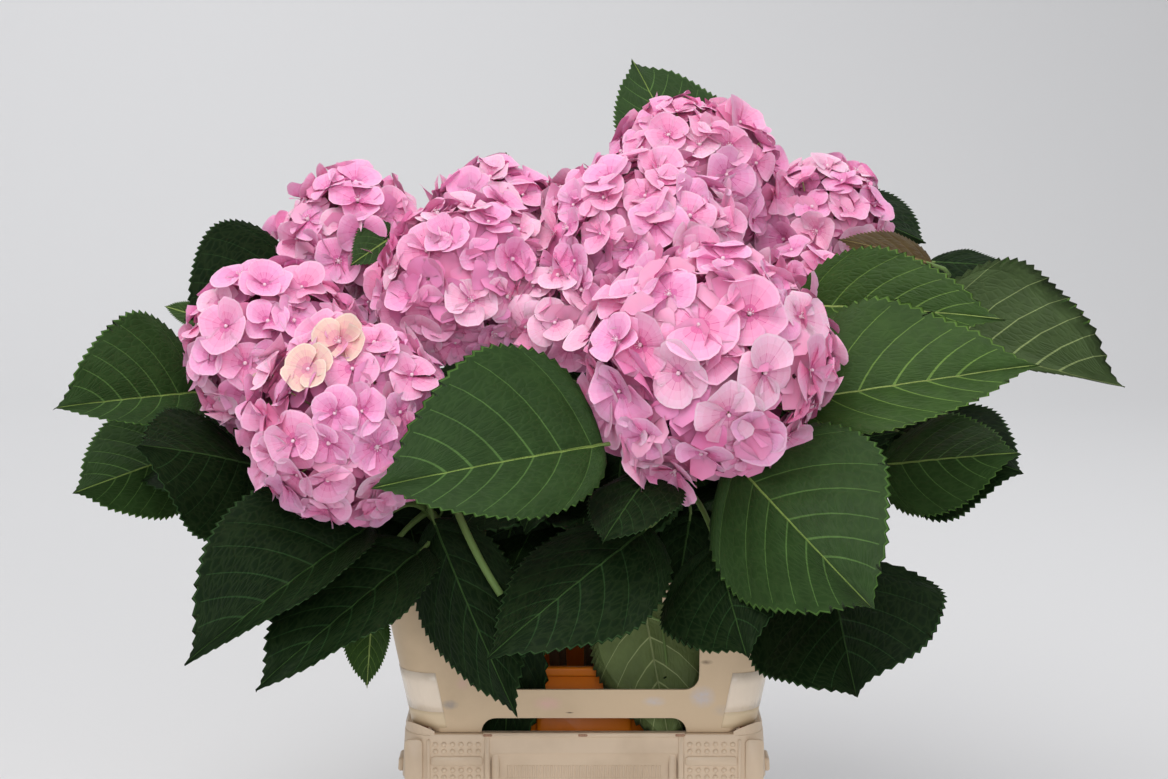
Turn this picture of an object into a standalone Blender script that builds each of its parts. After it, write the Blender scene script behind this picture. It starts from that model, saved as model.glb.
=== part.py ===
"""Cut mophead hydrangeas standing in a flower-trade tub.

Thirteen canes stand in a bucket, inside a moulded crate that carries a tapered collar. Each cane ends
under its own flower head and carries one mass of foliage. Metres, +Z up, the origin at the centre of the
crate's underside, with the short side that faces the viewer at -Y.
"""

import math

import bmesh
import bpy
from mathutils import Matrix, Vector, noise

MM = 0.001

# Gaps between pieces that touch, in millimetres
GAP = 0.3  # standing face to standing face
CLEARANCE = 0.9  # how far foliage is cut back along the normals of what runs through it

# Crate, in millimetres: half length along X, half length along Y
CRATE_FOOT = (141, 191)
CRATE_BODY_TOP = (147, 197)
CRATE_SKIRT_FOOT = (152.5, 202.5)
CRATE_RIM = (150, 200)
CRATE_BODY_HEIGHT = 176  # where the skirt under the rim begins
CRATE_HEIGHT = 218
CRATE_FLOOR = 4
CRATE_WALL = 3.5
CRATE_FLANGE = 12  # width of the flat rim that the collar stands on
CRATE_FLANGE_DEPTH = 5
CRATE_CORNER = 26  # corner radius
CRATE_FLANGE_CORNER = 18  # corner radius of the rim's inner edge
CRATE_INNER_CORNER = 22
GUSSET_HEIGHT = 20  # rise of each corner above the rim
GUSSET_WALL = 5.5
GUSSET_ROOT = 3  # how far it reaches down into the rim
GUSSET_DROP = 5  # how far its top stays under the collar's diagonal cut
RECESS_HALF_WIDTH = 83  # sunk panel in each short side, under its plain top band
RECESS_TOP = 202
RECESS_LEDGE_DROP = 11
RECESS_DEPTH = 4.5
CUTTER_REACH = 5  # how far a cutter stands out past what it cuts
LUG_TOP = 197  # lugs on the long sides
LUG_FOOT = 180
LUG_LENGTH = 26
LUG_REACH = 5
LUG_ROOT = 1  # how far a lug starts inside the wall

# Collar, in millimetres
COLLAR_FOOT = (144.5, 194.5)
COLLAR_HEIGHT = 132
COLLAR_FLARE = 0.18  # outward lean for each millimetre of height
COLLAR_WALL = 3
COLLAR_CORNER = 30
COLLAR_CORNER_CUT = (27, 24)  # run and rise of the diagonal cut at each foot corner
WINDOW_FOOT = 256.5  # height of the window's lower edge
WINDOW_TOP = 332
WINDOW_HALF_WIDTH = (95, 142)  # on the short sides, on the long sides
WINDOW_CORNER = 12
SLOT_TOP = 231
SLOT_HALF_WIDTH = (85, 120)

# Bucket, in millimetres
BUCKET_FOOT = (96, 138)
BUCKET_RIM = (116, 162)
BUCKET_HEIGHT = 262
BUCKET_WALL = 2.5
BUCKET_FLOOR = 3
BUCKET_LIP = (5, 7)  # reach and depth of the turned-out rim
BUCKET_CORNER = 38
PAD_HALF_WIDTH = 40  # raised pad on the short sides
PAD_SPAN = (165, 240)
PAD_REACH = 6
PAD_ROOT = 1.5  # how far a pad starts inside the wall

# Canes, in millimetres
CANE_FOOT_RADIUS = 5.0
CANE_TOP_RADIUS = 3.6
CANE_FOOT_SPREAD = 0.22  # how far from the middle a cane stands, against how far its head leans
FAN_HEIGHT = 210  # every head leans away from the point at this height on the tub's axis
CANE_STAND = 0.6  # share of its rise over which its foot stands it up straight
CANE_PULL = 0.36  # share of its rise over which its end runs straight into its head
CANE_POINTS = 6

# Flower heads: name, centre and radius in millimetres
HEADS = (
    ("front_right", (97, -250, 529), 100),
    ("front_left", (-185, -240, 484), 84),
    ("right", (193, -70, 559), 58),
    ("outer_left", (-256, -165, 535), 73),
    ("back_right", (212, 20, 621), 64),
    ("top_left", (-207, 10, 607), 67),
    ("middle_left", (-95, -115, 579), 80),
    ("middle", (48, -130, 607), 87),
    ("top", (98, 5, 662), 79),
    ("back_left", (-77, 15, 621), 62),
    ("rear_left", (-159, 190, 549), 77),
    ("rear_right", (180, 190, 569), 77),
    ("rear_middle", (16, 200, 585), 82),
)
HEAD_UNDERSIDE = 0.6  # depth of the flat under a head, against its radius
HEAD_FLATTENING = 0.25  # how much shallower a head is below its middle
HEAD_UNEVENNESS = 0.05
HEAD_BUMPS = 2.2  # bumps of the uneven skin, for each radius
HEAD_SEED = 0.013  # for each millimetre of a head's centre, so that no two heads are alike
HEAD_REACH = 4  # two heads this near each other press flat on each other
LARGE_HEAD = 79  # heads of a greater radius have finer faces

# Blades that show, by the cane they grow on: foot in millimetres, then azimuth (0 is towards -Y), pitch,
# roll, length, left and right half widths, and how far both sides fold up
BLADES = {
    "top_left": (
        ((-258, -10, 598), -49, -23, 59, 122, 32, 58, 10),
        ((-160, -40, 623), -52, -27, 43, 58, 22, 24, 14),
    ),
    "outer_left": (
        ((-322, -110, 492), -43, 1, 52, 152, 42, 74, 25),
        ((-328, -80, 441), -44, -10, 59, 138, 46, 56, -15),
    ),
    "front_left": (
        ((-268, -180, 440), -37, 15, 60, 135, 66, 60, -20),
        ((-172, -240, 401), -50, -26, 23, 192, 50, 80, 32),
        ((-128, -235, 383), -43, -25, 16, 195, 52, 60, 20),
        ((-172, -224, 328), -4, -60, -13, 64, 19, 22, 16),
    ),
    "middle_left": (((-109, -245, 378), 37, -50, -48, 146, 38, 42, -25),),
    "middle": (((34, -158, 322), 52, -45, 150, 92, 52, 50, 10),),
    "front_right": (
        ((15, -290, 476), -70, -7, 59, 188, 56, 92, 20),
        ((125, -290, 455), 34, -27, -59, 172, 86, 88, -14),
        ((52, -275, 406), -50, -26, 27, 182, 56, 66, -8),
        ((96, -265, 396), 13, -39, -39, 118, 50, 52, -3),
        ((56, -270, 454), -28, -26, 1, 100, 38, 38, -3),
    ),
    "right": (
        ((175, -210, 498), 81, 10, -52, 191, 80, 62, 28),
        ((176, -140, 567), 65, -1, -58, 180, 52, 46, 25),
        ((199, -225, 367), 4, -31, -25, 145, 82, 82, -10),
        ((244, -150, 436), 48, 11, -59, 132, 48, 44, -12),
    ),
    "back_right": (
        ((292, -60, 539), 75, -14, 138, 180, 50, 76, -40),
        ((262, -130, 462), 37, -6, -58, 145, 54, 62, -25),
        ((302, -10, 594), -79, 12, 43, 85, 22, 22, 0),
        ((306, -10, 594), 59, -1, -34, 75, 20, 20, 0),
        ((225, 112, 642), 45, -16, -35, 122, 40, 30, -5),
    ),
    "top": (((98, 100, 665), -154, 42, 18, 160, 48, 60, 8),),
}

# Blades of the far side, fanned round the way each cane there leans
FAR_CANES = ("outer_left", "top_left", "back_right", "right", "rear_left", "rear_middle", "rear_right")
FAR_BLADE_LENGTH = 175
FAR_BLADE_HALF_WIDTH = 64
FAR_TIERS = ((0.84, -10, (-34, 38)), (0.68, -26, (2,)))  # place up the cane, pitch, turns from its lean
FAR_STALK = 34
FAR_FOLD = -8
FAR_SPREAD = (20, 25, 0.15, 0.2)  # most change of a far blade's pitch, roll, width and length
FRONT_LIMIT = 0.15  # a blade that would point towards -Y more than this is left out

BLADE_THICKNESS = 14  # of the solid that stands for a blade and the air under it
BLADE_ABOVE = 0.35  # share of the thickness that lies above the blade
BLADE_WIDEST = 0.4  # where along its length a blade is widest
STALK_RADIUS = 15
STALK_GROWTH = 0.7  # how much thicker each further stalk of a mass starts, so that no two share a face
STALK_SEAT = 0.2  # how far along its blade a stalk ends
CORE_RADIUS = 50
CORE_END = 0.7  # how far a core reaches past its places, against its radius
CORE_PLACES = (0.88, 0.68)  # how far up its cane the core of a mass ends and begins
STALK_PLACES = (0.64, 0.68, 0.72, 0.76, 0.80, 0.84)  # how far up its cane a blade can spring


def material(name, colour, roughness):
    made = bpy.data.materials.new(name)
    made.use_nodes = True
    made.diffuse_color = (*colour, 1)
    shader = made.node_tree.nodes["Principled BSDF"]
    shader.inputs["Base Color"].default_value = (*colour, 1)
    shader.inputs["Roughness"].default_value = roughness
    shader.inputs["Metallic"].default_value = 0
    return made


def new_object(name, bm, collection, finish=None):
    """An object from a bmesh in millimetres, in triangles so that a grown copy has the same faces."""
    bmesh.ops.triangulate(bm, faces=bm.faces)
    bmesh.ops.recalc_face_normals(bm, faces=bm.faces)
    bmesh.ops.scale(bm, vec=(MM, MM, MM), verts=bm.verts)
    mesh = bpy.data.meshes.new(name)
    bm.to_mesh(mesh)
    bm.free()
    made = bpy.data.objects.new(name, mesh)
    collection.objects.link(made)
    if finish:
        mesh.materials.append(finish)
    if collection is helpers:
        made.hide_render = True
        made.display_type = "WIRE"
    return made


def helper(bm):
    return new_object("cutter", bm, helpers)


def combine(target, other, operation, solver="EXACT"):
    """Applies one Boolean to the target's own mesh, and drops the other object when it is a helper.

    Foliage passes MANIFOLD, because EXACT leaves open edges where many thin hulls of it cross.
    """
    modifier = target.modifiers.new(operation.title(), "BOOLEAN")
    modifier.operation = operation
    modifier.object = other
    modifier.solver = solver
    graph = bpy.context.evaluated_depsgraph_get()
    mesh = bpy.data.meshes.new_from_object(target.evaluated_get(graph))
    target.modifiers.remove(modifier)
    spent = target.data
    target.data = mesh
    bpy.data.meshes.remove(spent)
    if other.name.startswith("cutter"):
        bpy.data.objects.remove(other)


def keep_largest(target):
    """A cut can part a thin edge from a mass: only the mass itself is kept."""
    bm = bmesh.new()
    bm.from_mesh(target.data)
    islands = []
    unseen = set(bm.faces)
    while unseen:
        reached = {unseen.pop()}
        edge = list(reached)
        while edge:
            sides = [e for face in edge for e in face.edges if len(e.link_faces) == 2]
            near = {face for side in sides for face in side.link_faces}
            near -= reached
            reached |= near
            edge = list(near)
        unseen -= reached
        islands.append(reached)
    islands.sort(key=lambda island: sum(face.calc_area() for face in island))
    parted = [face for island in islands[:-1] for face in island]
    bmesh.ops.delete(bm, geom=parted, context="FACES")
    bm.to_mesh(target.data)
    bm.free()


def grown(target, clearance):
    """A cutter that is the target, a clearance larger all round."""
    graph = bpy.context.evaluated_depsgraph_get()
    bm = bmesh.new()
    bm.from_object(target, graph)
    bm.normal_update()
    moves = [v.normal * clearance * MM for v in bm.verts]
    for vert, move in zip(bm.verts, moves):
        vert.co += move
    bmesh.ops.scale(bm, vec=(1 / MM, 1 / MM, 1 / MM), verts=bm.verts)
    return helper(bm)


def boxes_meet(first, second, margin):
    for axis in range(3):
        spans = []
        for obj in (first, second):
            along = [v.co[axis] for v in obj.data.vertices]
            spans.append((min(along), max(along)))
        if spans[0][0] > spans[1][1] + margin or spans[1][0] > spans[0][1] + margin:
            return False
    return True


def box(x, y, z):
    """A box as a bmesh, from its two limits on each axis."""
    bm = bmesh.new()
    bmesh.ops.create_cube(bm, size=1)
    size = [span[1] - span[0] for span in (x, y, z)]
    middle = [sum(span) / 2 for span in (x, y, z)]
    bmesh.ops.scale(bm, vec=size, verts=bm.verts)
    bmesh.ops.translate(bm, vec=middle, verts=bm.verts)
    return bm


def rounded_ring(half, radius, height, steps=3):
    """Points of a rectangle with round corners, at one height."""
    points = []
    for quarter, (sx, sy) in enumerate(((1, 1), (-1, 1), (-1, -1), (1, -1))):
        centre = (sx * (half[0] - radius), sy * (half[1] - radius))
        for step in range(steps + 1):
            turn = math.pi / 2 * (quarter + step / steps)
            points.append(
                (centre[0] + radius * math.cos(turn), centre[1] + radius * math.sin(turn), height)
            )
    return points


def loft(rings):
    """A closed skin over rings of equal length, with its first and last rings capped."""
    bm = bmesh.new()
    rows = [[bm.verts.new(point) for point in ring] for ring in rings]
    count = len(rows[0])
    for lower, upper in zip(rows, rows[1:]):
        for i in range(count):
            bm.faces.new((lower[i], lower[(i + 1) % count], upper[(i + 1) % count], upper[i]))
    bm.faces.new(rows[0])
    bm.faces.new(rows[-1])
    return bm


def prism(outline, axis, limits):
    """An outline of two-number points, drawn out along an axis between two limits."""
    bm = bmesh.new()
    rows = []
    for limit in limits:
        row = []
        for u, v in outline:
            point = (limit, u, v) if axis == "X" else (u, limit, v)
            row.append(bm.verts.new(point))
        rows.append(row)
    count = len(outline)
    for i in range(count):
        bm.faces.new((rows[0][i], rows[0][(i + 1) % count], rows[1][(i + 1) % count], rows[1][i]))
    bm.faces.new(rows[0])
    bm.faces.new(rows[1])
    return bm


def rounded_outline(half_width, foot, top, radii, steps=3):
    """A window's outline. Each corner has a radius, from the foot's left round to the top's left."""
    corners = ((-half_width, foot), (half_width, foot), (half_width, top), (-half_width, top))
    inward = ((1, 1), (-1, 1), (-1, -1), (1, -1))
    outline = []
    for index, ((u, v), (du, dv), radius) in enumerate(zip(corners, inward, radii)):
        for step in range(steps + 1 if radius else 1):
            turn = math.pi / 2 * (index + 2 + step / steps)
            outline.append(
                (u + radius * (du + math.cos(turn)), v + radius * (dv + math.sin(turn)))
            )
    return outline


def hull(points):
    bm = bmesh.new()
    for point in points:
        bm.verts.new(point)
    result = bmesh.ops.convex_hull(bm, input=bm.verts)
    loose = [v for v in result["geom_interior"] if isinstance(v, bmesh.types.BMVert)]
    bmesh.ops.delete(bm, geom=loose, context="VERTS")
    return bm


def inset(half, by):
    return (half[0] - by, half[1] - by)


def crate():
    flange_foot = CRATE_HEIGHT - CRATE_FLANGE_DEPTH
    rings = [
        rounded_ring(CRATE_FOOT, CRATE_CORNER, 0),
        rounded_ring(CRATE_BODY_TOP, CRATE_CORNER, CRATE_BODY_HEIGHT),
        rounded_ring(CRATE_SKIRT_FOOT, CRATE_CORNER, CRATE_BODY_HEIGHT + 1),
        rounded_ring(CRATE_RIM, CRATE_CORNER, CRATE_HEIGHT),
        rounded_ring(inset(CRATE_RIM, CRATE_FLANGE), CRATE_FLANGE_CORNER, CRATE_HEIGHT),
        rounded_ring(inset(CRATE_RIM, CRATE_FLANGE), CRATE_FLANGE_CORNER, flange_foot),
        rounded_ring(inset(CRATE_BODY_TOP, CRATE_WALL), CRATE_INNER_CORNER, flange_foot - 5),
        rounded_ring(inset(CRATE_FOOT, CRATE_WALL), CRATE_INNER_CORNER, CRATE_FLOOR),
    ]
    made = new_object("crate", loft(rings), parts, cream)
    ledge = RECESS_TOP - RECESS_LEDGE_DROP
    foot = CRATE_BODY_HEIGHT - 2
    reach = CRATE_SKIRT_FOOT[1] + CUTTER_REACH
    for side in (-1, 1):
        # Sunk panel under the top band, with a sloped ledge
        face = CRATE_RIM[1]
        profile = [
            (side * face, RECESS_TOP),
            (side * (face + 1 - RECESS_DEPTH), ledge),
            (side * (face + 1 - RECESS_DEPTH), foot),
            (side * reach, foot),
            (side * reach, RECESS_TOP),
        ]
        cutter = helper(prism(profile, "X", (-RECESS_HALF_WIDTH, RECESS_HALF_WIDTH)))
        combine(made, cutter, "DIFFERENCE")
        # Lugs near the corners of the long sides
        for end in (-1, 1):
            middle = end * (CRATE_RIM[1] - CRATE_CORNER - LUG_LENGTH / 2)
            wall = side * (CRATE_RIM[0] - LUG_ROOT)
            outer = side * (CRATE_SKIRT_FOOT[0] + LUG_REACH)
            across = (middle - LUG_LENGTH / 2, middle + LUG_LENGTH / 2)
            lug = helper(box(sorted((wall, outer)), across, (LUG_FOOT, LUG_TOP)))
            combine(made, lug, "UNION")
    for sx in (-1, 1):
        for sy in (-1, 1):
            combine(made, helper(gusset(sx, sy)), "UNION")
    return made


def gusset(sx, sy):
    """The solid corner that rises beside the collar's diagonal cut."""
    run, rise = COLLAR_CORNER_CUT
    start = COLLAR_FOOT[0] + COLLAR_FOOT[1] - run
    centre = (CRATE_RIM[0] - CRATE_CORNER, CRATE_RIM[1] - CRATE_CORNER)
    points = []
    for step in range(4):
        turn = math.pi / 2 * step / 3
        for radius in (CRATE_CORNER - 0.5, CRATE_CORNER - 0.5 - GUSSET_WALL):
            x = centre[0] + radius * math.cos(turn)
            y = centre[1] + radius * math.sin(turn)
            lift = rise / run * (x + y - start) - GUSSET_DROP
            points.append((sx * x, sy * y, CRATE_HEIGHT - GUSSET_ROOT))
            points.append((sx * x, sy * y, CRATE_HEIGHT + min(GUSSET_HEIGHT, max(1, lift))))
    return hull(points)


def collar():
    foot = CRATE_HEIGHT + GAP
    top = foot + COLLAR_HEIGHT
    flared = inset(COLLAR_FOOT, -COLLAR_FLARE * COLLAR_HEIGHT)
    outer = [rounded_ring(COLLAR_FOOT, COLLAR_CORNER, foot), rounded_ring(flared, COLLAR_CORNER, top)]
    inner_radius = COLLAR_CORNER - COLLAR_WALL
    inner = [
        rounded_ring(inset(flared, COLLAR_WALL), inner_radius, top),
        rounded_ring(inset(COLLAR_FOOT, COLLAR_WALL), inner_radius, foot),
    ]
    bm = bmesh.new()
    rows = [[bm.verts.new(point) for point in ring] for ring in outer + inner]
    count = len(rows[0])
    for lower, upper in zip(rows, rows[1:] + rows[:1]):
        for i in range(count):
            bm.faces.new((lower[i], lower[(i + 1) % count], upper[(i + 1) % count], upper[i]))
    made = new_object("collar", bm, parts, cream)
    window_radii = (WINDOW_CORNER,) * 4
    slot_radii = (0, 0, WINDOW_CORNER, WINDOW_CORNER)
    for axis, index in (("Y", 0), ("X", 1)):
        far = flared[1 - index] + CUTTER_REACH
        window = rounded_outline(WINDOW_HALF_WIDTH[index], WINDOW_FOOT, WINDOW_TOP, window_radii)
        slot = rounded_outline(SLOT_HALF_WIDTH[index], foot - CUTTER_REACH, SLOT_TOP, slot_radii)
        for outline in (window, slot):
            combine(made, helper(prism(outline, axis, (-far, far))), "DIFFERENCE")
    run, rise = COLLAR_CORNER_CUT
    for sx in (-1, 1):
        for sy in (-1, 1):
            corner = (sx * COLLAR_FOOT[0], sy * COLLAR_FOOT[1])
            side_foot = (corner[0], corner[1] - sy * run, foot - 2)
            front_foot = (corner[0] - sx * run, corner[1], foot - 2)
            peak = (corner[0], corner[1], foot + rise)
            span = Vector(front_foot) - Vector(side_foot)
            rise_line = Vector(peak) - (Vector(side_foot) + Vector(front_foot)) / 2
            normal = span.cross(rise_line).normalized()
            if normal.z > 0:
                normal = -normal
            middle = Vector(peak) + normal * rise
            bm = box((-2 * run, 2 * run), (-2 * run, 2 * run), (-rise, rise))
            turn = normal.to_track_quat("Z", "Y").to_matrix().to_4x4()
            bmesh.ops.transform(bm, matrix=Matrix.Translation(middle) @ turn, verts=bm.verts)
            combine(made, helper(bm), "DIFFERENCE")
    return made


def bucket():
    foot = CRATE_FLOOR + GAP
    reach, depth = BUCKET_LIP
    rim = foot + BUCKET_HEIGHT
    wide = (BUCKET_RIM[0] + reach, BUCKET_RIM[1] + reach)
    rings = [
        rounded_ring(BUCKET_FOOT, BUCKET_CORNER, foot),
        rounded_ring(BUCKET_RIM, BUCKET_CORNER, rim - depth),
        rounded_ring(wide, BUCKET_CORNER + reach, rim - depth),
        rounded_ring(wide, BUCKET_CORNER + reach, rim),
        rounded_ring(inset(BUCKET_RIM, BUCKET_WALL), BUCKET_CORNER - BUCKET_WALL, rim),
        rounded_ring(inset(BUCKET_FOOT, BUCKET_WALL), BUCKET_CORNER - BUCKET_WALL, foot + BUCKET_FLOOR),
    ]
    made = new_object("bucket", loft(rings), parts, orange)
    for side in (-1, 1):
        low, high = PAD_SPAN
        lean = (BUCKET_RIM[1] - BUCKET_FOOT[1]) / (BUCKET_HEIGHT - depth)
        wall_low = BUCKET_FOOT[1] + lean * (low - foot)
        wall_high = BUCKET_FOOT[1] + lean * (high - foot)
        profile = [
            (side * (wall_low - PAD_ROOT), low),
            (side * (wall_low + PAD_REACH), low),
            (side * (wall_high + PAD_REACH), high),
            (side * (wall_high - PAD_ROOT), high),
        ]
        combine(made, helper(prism(profile, "X", (-PAD_HALF_WIDTH, PAD_HALF_WIDTH))), "UNION")
    return made


def head_axis(centre):
    return (Vector(centre) - Vector((0, 0, FAN_HEIGHT))).normalized()


def flower_head(name, centre, radius):
    """A ball with an uneven skin, flatter below, cut flat where its cane meets it."""
    axis = head_axis(centre)
    middle = Vector(centre)
    bm = bmesh.new()
    bmesh.ops.create_cube(bm, size=2)
    cuts = 3 if radius > LARGE_HEAD else 2
    bmesh.ops.subdivide_edges(bm, edges=bm.edges, cuts=cuts, use_grid_fill=True)
    for vert in bm.verts:
        out = vert.co.normalized()
        along = out.dot(axis)
        if along < 0:
            out -= axis * along * HEAD_FLATTENING
        bump = noise.noise(out * HEAD_BUMPS + middle * HEAD_SEED)
        vert.co = middle + out * radius * (1 + HEAD_UNEVENNESS * bump)
    cut(bm, middle - axis * radius * HEAD_UNDERSIDE, -axis)
    for other, place, size in HEADS:
        apart = Vector(place) - middle
        if other == name or apart.length > radius + size + HEAD_REACH:
            continue
        share = (apart.length_squared + radius**2 - size**2) / (2 * apart.length)
        towards = apart.normalized()
        cut(bm, middle + towards * (share - GAP / 2), towards)
    return new_object("head_" + name, bm, parts, pink)


def cut(bm, point, outward):
    """Cuts away what lies beyond a plane, and closes the flat."""
    geometry = bm.verts[:] + bm.edges[:] + bm.faces[:]
    result = bmesh.ops.bisect_plane(
        bm, geom=geometry, dist=1e-4, plane_co=point, plane_no=outward, clear_outer=True
    )
    rim = [e for e in result["geom_cut"] if isinstance(e, bmesh.types.BMEdge)]
    if rim:
        bmesh.ops.edgeloop_fill(bm, edges=rim)


def cane_route(centre, radius):
    """The four control points of a cane's curve, from the bucket's floor to the flat under its head."""
    axis = head_axis(centre)
    foot_height = CRATE_FLOOR + BUCKET_FLOOR + 2 * GAP
    foot = Vector((centre[0] * CANE_FOOT_SPREAD, centre[1] * CANE_FOOT_SPREAD, foot_height))
    end = Vector(centre) - axis * (radius * HEAD_UNDERSIDE + GAP)
    rise = end.z - foot.z
    stand = foot + Vector((0, 0, rise * CANE_STAND))
    return foot, stand, end - axis * rise * CANE_PULL, end


def on_cane(route, share):
    """A point part of the way up a cane."""
    a, b, c, d = route
    rest = 1 - share
    return a * rest**3 + b * 3 * rest**2 * share + c * 3 * rest * share**2 + d * share**3


def cane(name, centre, radius):
    route = cane_route(centre, radius)
    curve = bpy.data.curves.new("cane", "CURVE")
    curve.dimensions = "3D"
    curve.bevel_depth = MM
    curve.bevel_resolution = 1
    curve.use_fill_caps = True
    spline = curve.splines.new("POLY")
    spline.points.add(CANE_POINTS - 1)
    for i, point in enumerate(spline.points):
        share = i / (CANE_POINTS - 1)
        point.co = (*(on_cane(route, share) * MM), 1)
        point.radius = CANE_FOOT_RADIUS + (CANE_TOP_RADIUS - CANE_FOOT_RADIUS) * share
    rod = bpy.data.objects.new("cane", curve)
    parts.objects.link(rod)
    graph = bpy.context.evaluated_depsgraph_get()
    mesh = bpy.data.meshes.new_from_object(rod.evaluated_get(graph))
    bpy.data.objects.remove(rod)
    bm = bmesh.new()
    bm.from_mesh(mesh)
    bpy.data.meshes.remove(mesh)
    bmesh.ops.remove_doubles(bm, verts=bm.verts, dist=1e-6)
    bmesh.ops.scale(bm, vec=(1 / MM, 1 / MM, 1 / MM), verts=bm.verts)
    return new_object("cane_" + name, bm, parts, bark)


def blade_axes(azimuth, pitch, roll):
    """The directions along a blade, towards its right edge, and out of its face."""
    turn, lift, lean = (math.radians(angle) for angle in (azimuth, pitch, roll))
    along = Vector((math.sin(turn) * math.cos(lift), -math.cos(turn) * math.cos(lift), math.sin(lift)))
    level = Vector((-math.cos(turn), -math.sin(turn), 0))
    upright = level.cross(along)
    right = level * math.cos(lean) + upright * math.sin(lean)
    face = upright * math.cos(lean) - level * math.sin(lean)
    return along, right, face


def half_width(share):
    """The outline of a blade: its half width, against its greatest, from foot (0) to tip (1)."""
    if share < BLADE_WIDEST:
        return math.sqrt(1 - (1 - share / BLADE_WIDEST) ** 2)
    return (1 - ((share - BLADE_WIDEST) / (1 - BLADE_WIDEST)) ** 1.7) ** 1.1


def blade_points(foot, azimuth, pitch, roll, length, left, right_half, fold):
    """The corners of the solid of one blade: its outline, and its midrib's top and underside."""
    along, right, face = blade_axes(azimuth, pitch, roll)
    rise, reach = math.sin(math.radians(fold)), math.cos(math.radians(fold))
    middle = Vector(foot)
    points = [middle + along * length]
    for share in (0.04, 0.2, 0.42, 0.66, 0.86):
        spot = middle + along * length * share
        for side, half in ((-1, left), (1, right_half)):
            wide = half * half_width(share)
            points.append(spot + right * side * wide * reach + face * wide * rise)
    for share in (0.1, 0.45, 0.8):
        spot = middle + along * length * share
        points.append(spot + face * BLADE_THICKNESS * BLADE_ABOVE)
        points.append(spot - face * BLADE_THICKNESS * (1 - BLADE_ABOVE))
    return points


def ball_points(centre, radius):
    return [
        Vector(centre) + Vector(step) * radius
        for step in ((1, 0, 0), (-1, 0, 0), (0, 1, 0), (0, -1, 0), (0, 0, 1), (0, 0, -1))
    ]


def far_blades(route):
    """Blades on the far side of a cane, fanned about the way it leans."""
    most_pitch, most_roll, most_width, most_length = FAR_SPREAD
    lean = math.degrees(math.atan2(route[3].x, -route[3].y))
    rows = []
    for tier, (share, pitch, turns) in enumerate(FAR_TIERS):
        node = on_cane(route, share)
        for index, turn in enumerate(turns):
            azimuth = lean + turn
            if math.cos(math.radians(azimuth)) > FRONT_LIMIT:
                continue
            jitter = noise.noise(Vector((index * 3.1 + tier * 7.7, lean * 0.05, 1.3)))
            angles = (azimuth, pitch + most_pitch * jitter, most_roll * jitter)
            foot = node + blade_axes(*angles)[0] * FAR_STALK
            half = FAR_BLADE_HALF_WIDTH * (1 + most_width * jitter)
            length = FAR_BLADE_LENGTH * (1 + most_length * jitter)
            rows.append((foot, *angles, length, half, half, FAR_FOLD))
    return rows


def foliage(name, centre, radius):
    """One mass: cores round its cane, and a thick blade out to each leaf tip."""
    route = cane_route(centre, radius)
    rows = list(BLADES.get(name, ()))
    if name in FAR_CANES:
        rows += far_blades(route)
    bm = bmesh.new()
    bmesh.ops.create_icosphere(bm, subdivisions=1, radius=1)
    low, high = on_cane(route, CORE_PLACES[1]), on_cane(route, CORE_PLACES[0])
    reach = (high - low).length / 2 + CORE_RADIUS * CORE_END
    bmesh.ops.scale(bm, vec=(CORE_RADIUS, CORE_RADIUS, reach), verts=bm.verts)
    turn = (high - low).to_track_quat("Z", "Y").to_matrix().to_4x4()
    bmesh.ops.transform(bm, matrix=Matrix.Translation((low + high) / 2) @ turn, verts=bm.verts)
    made = new_object("leaves_" + name, bm, parts, green)
    nodes = [on_cane(route, share) for share in STALK_PLACES]
    for index, row in enumerate(rows):
        foot = Vector(row[0])
        nearest = min(nodes, key=lambda p: (p - foot).length)
        nodes.append(foot)
        seat = foot + blade_axes(*row[1:4])[0] * row[4] * STALK_SEAT
        stalk = ball_points(nearest, STALK_RADIUS + index * STALK_GROWTH)
        stalk += ball_points(seat, BLADE_THICKNESS * 0.4)
        combine(made, helper(hull(stalk)), "UNION", "MANIFOLD")
        combine(made, helper(hull(blade_points(*row))), "UNION", "MANIFOLD")
    return made


def clear_all(scene):
    for obj in list(scene.objects):
        bpy.data.objects.remove(obj)


def main():
    solids = [crate(), collar(), bucket()]
    solids += [cane(*head) for head in HEADS]
    solids += [flower_head(*head) for head in HEADS]
    cleared = list(solids)
    for head in HEADS:
        mass = foliage(*head)
        for other in cleared:
            if boxes_meet(mass, other, CLEARANCE * MM):
                for clearance in (0, CLEARANCE):
                    combine(mass, grown(other, clearance), "DIFFERENCE", "MANIFOLD")
                keep_largest(mass)
        cleared.append(mass)


clear_all(bpy.context.scene)
parts = bpy.data.collections.new("hydrangeas_in_tub")
helpers = bpy.data.collections.new("cutters")
bpy.context.scene.collection.children.link(parts)
bpy.context.scene.collection.children.link(helpers)
cream = material("cream_moulded_plastic", (0.80, 0.66, 0.52), 0.45)
orange = material("orange_bucket_plastic", (0.75, 0.28, 0.06), 0.5)
bark = material("green_cane", (0.13, 0.24, 0.07), 0.6)
pink = material("pink_sepals", (0.86, 0.34, 0.55), 0.7)
green = material("dark_leaf_green", (0.03, 0.10, 0.03), 0.5)
main()
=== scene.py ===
"""Cut mophead hydrangeas in a flower tub: the looks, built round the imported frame.

Lengths are in millimetres until a mesh is made. The plant's heads, canes and leaves repeat the places that
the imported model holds, and everything on them grows from those by seeded rules.
"""

import math

import bmesh
import bpy
import numpy as np
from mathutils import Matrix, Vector, noise
from mathutils.bvhtree import BVHTree


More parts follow.
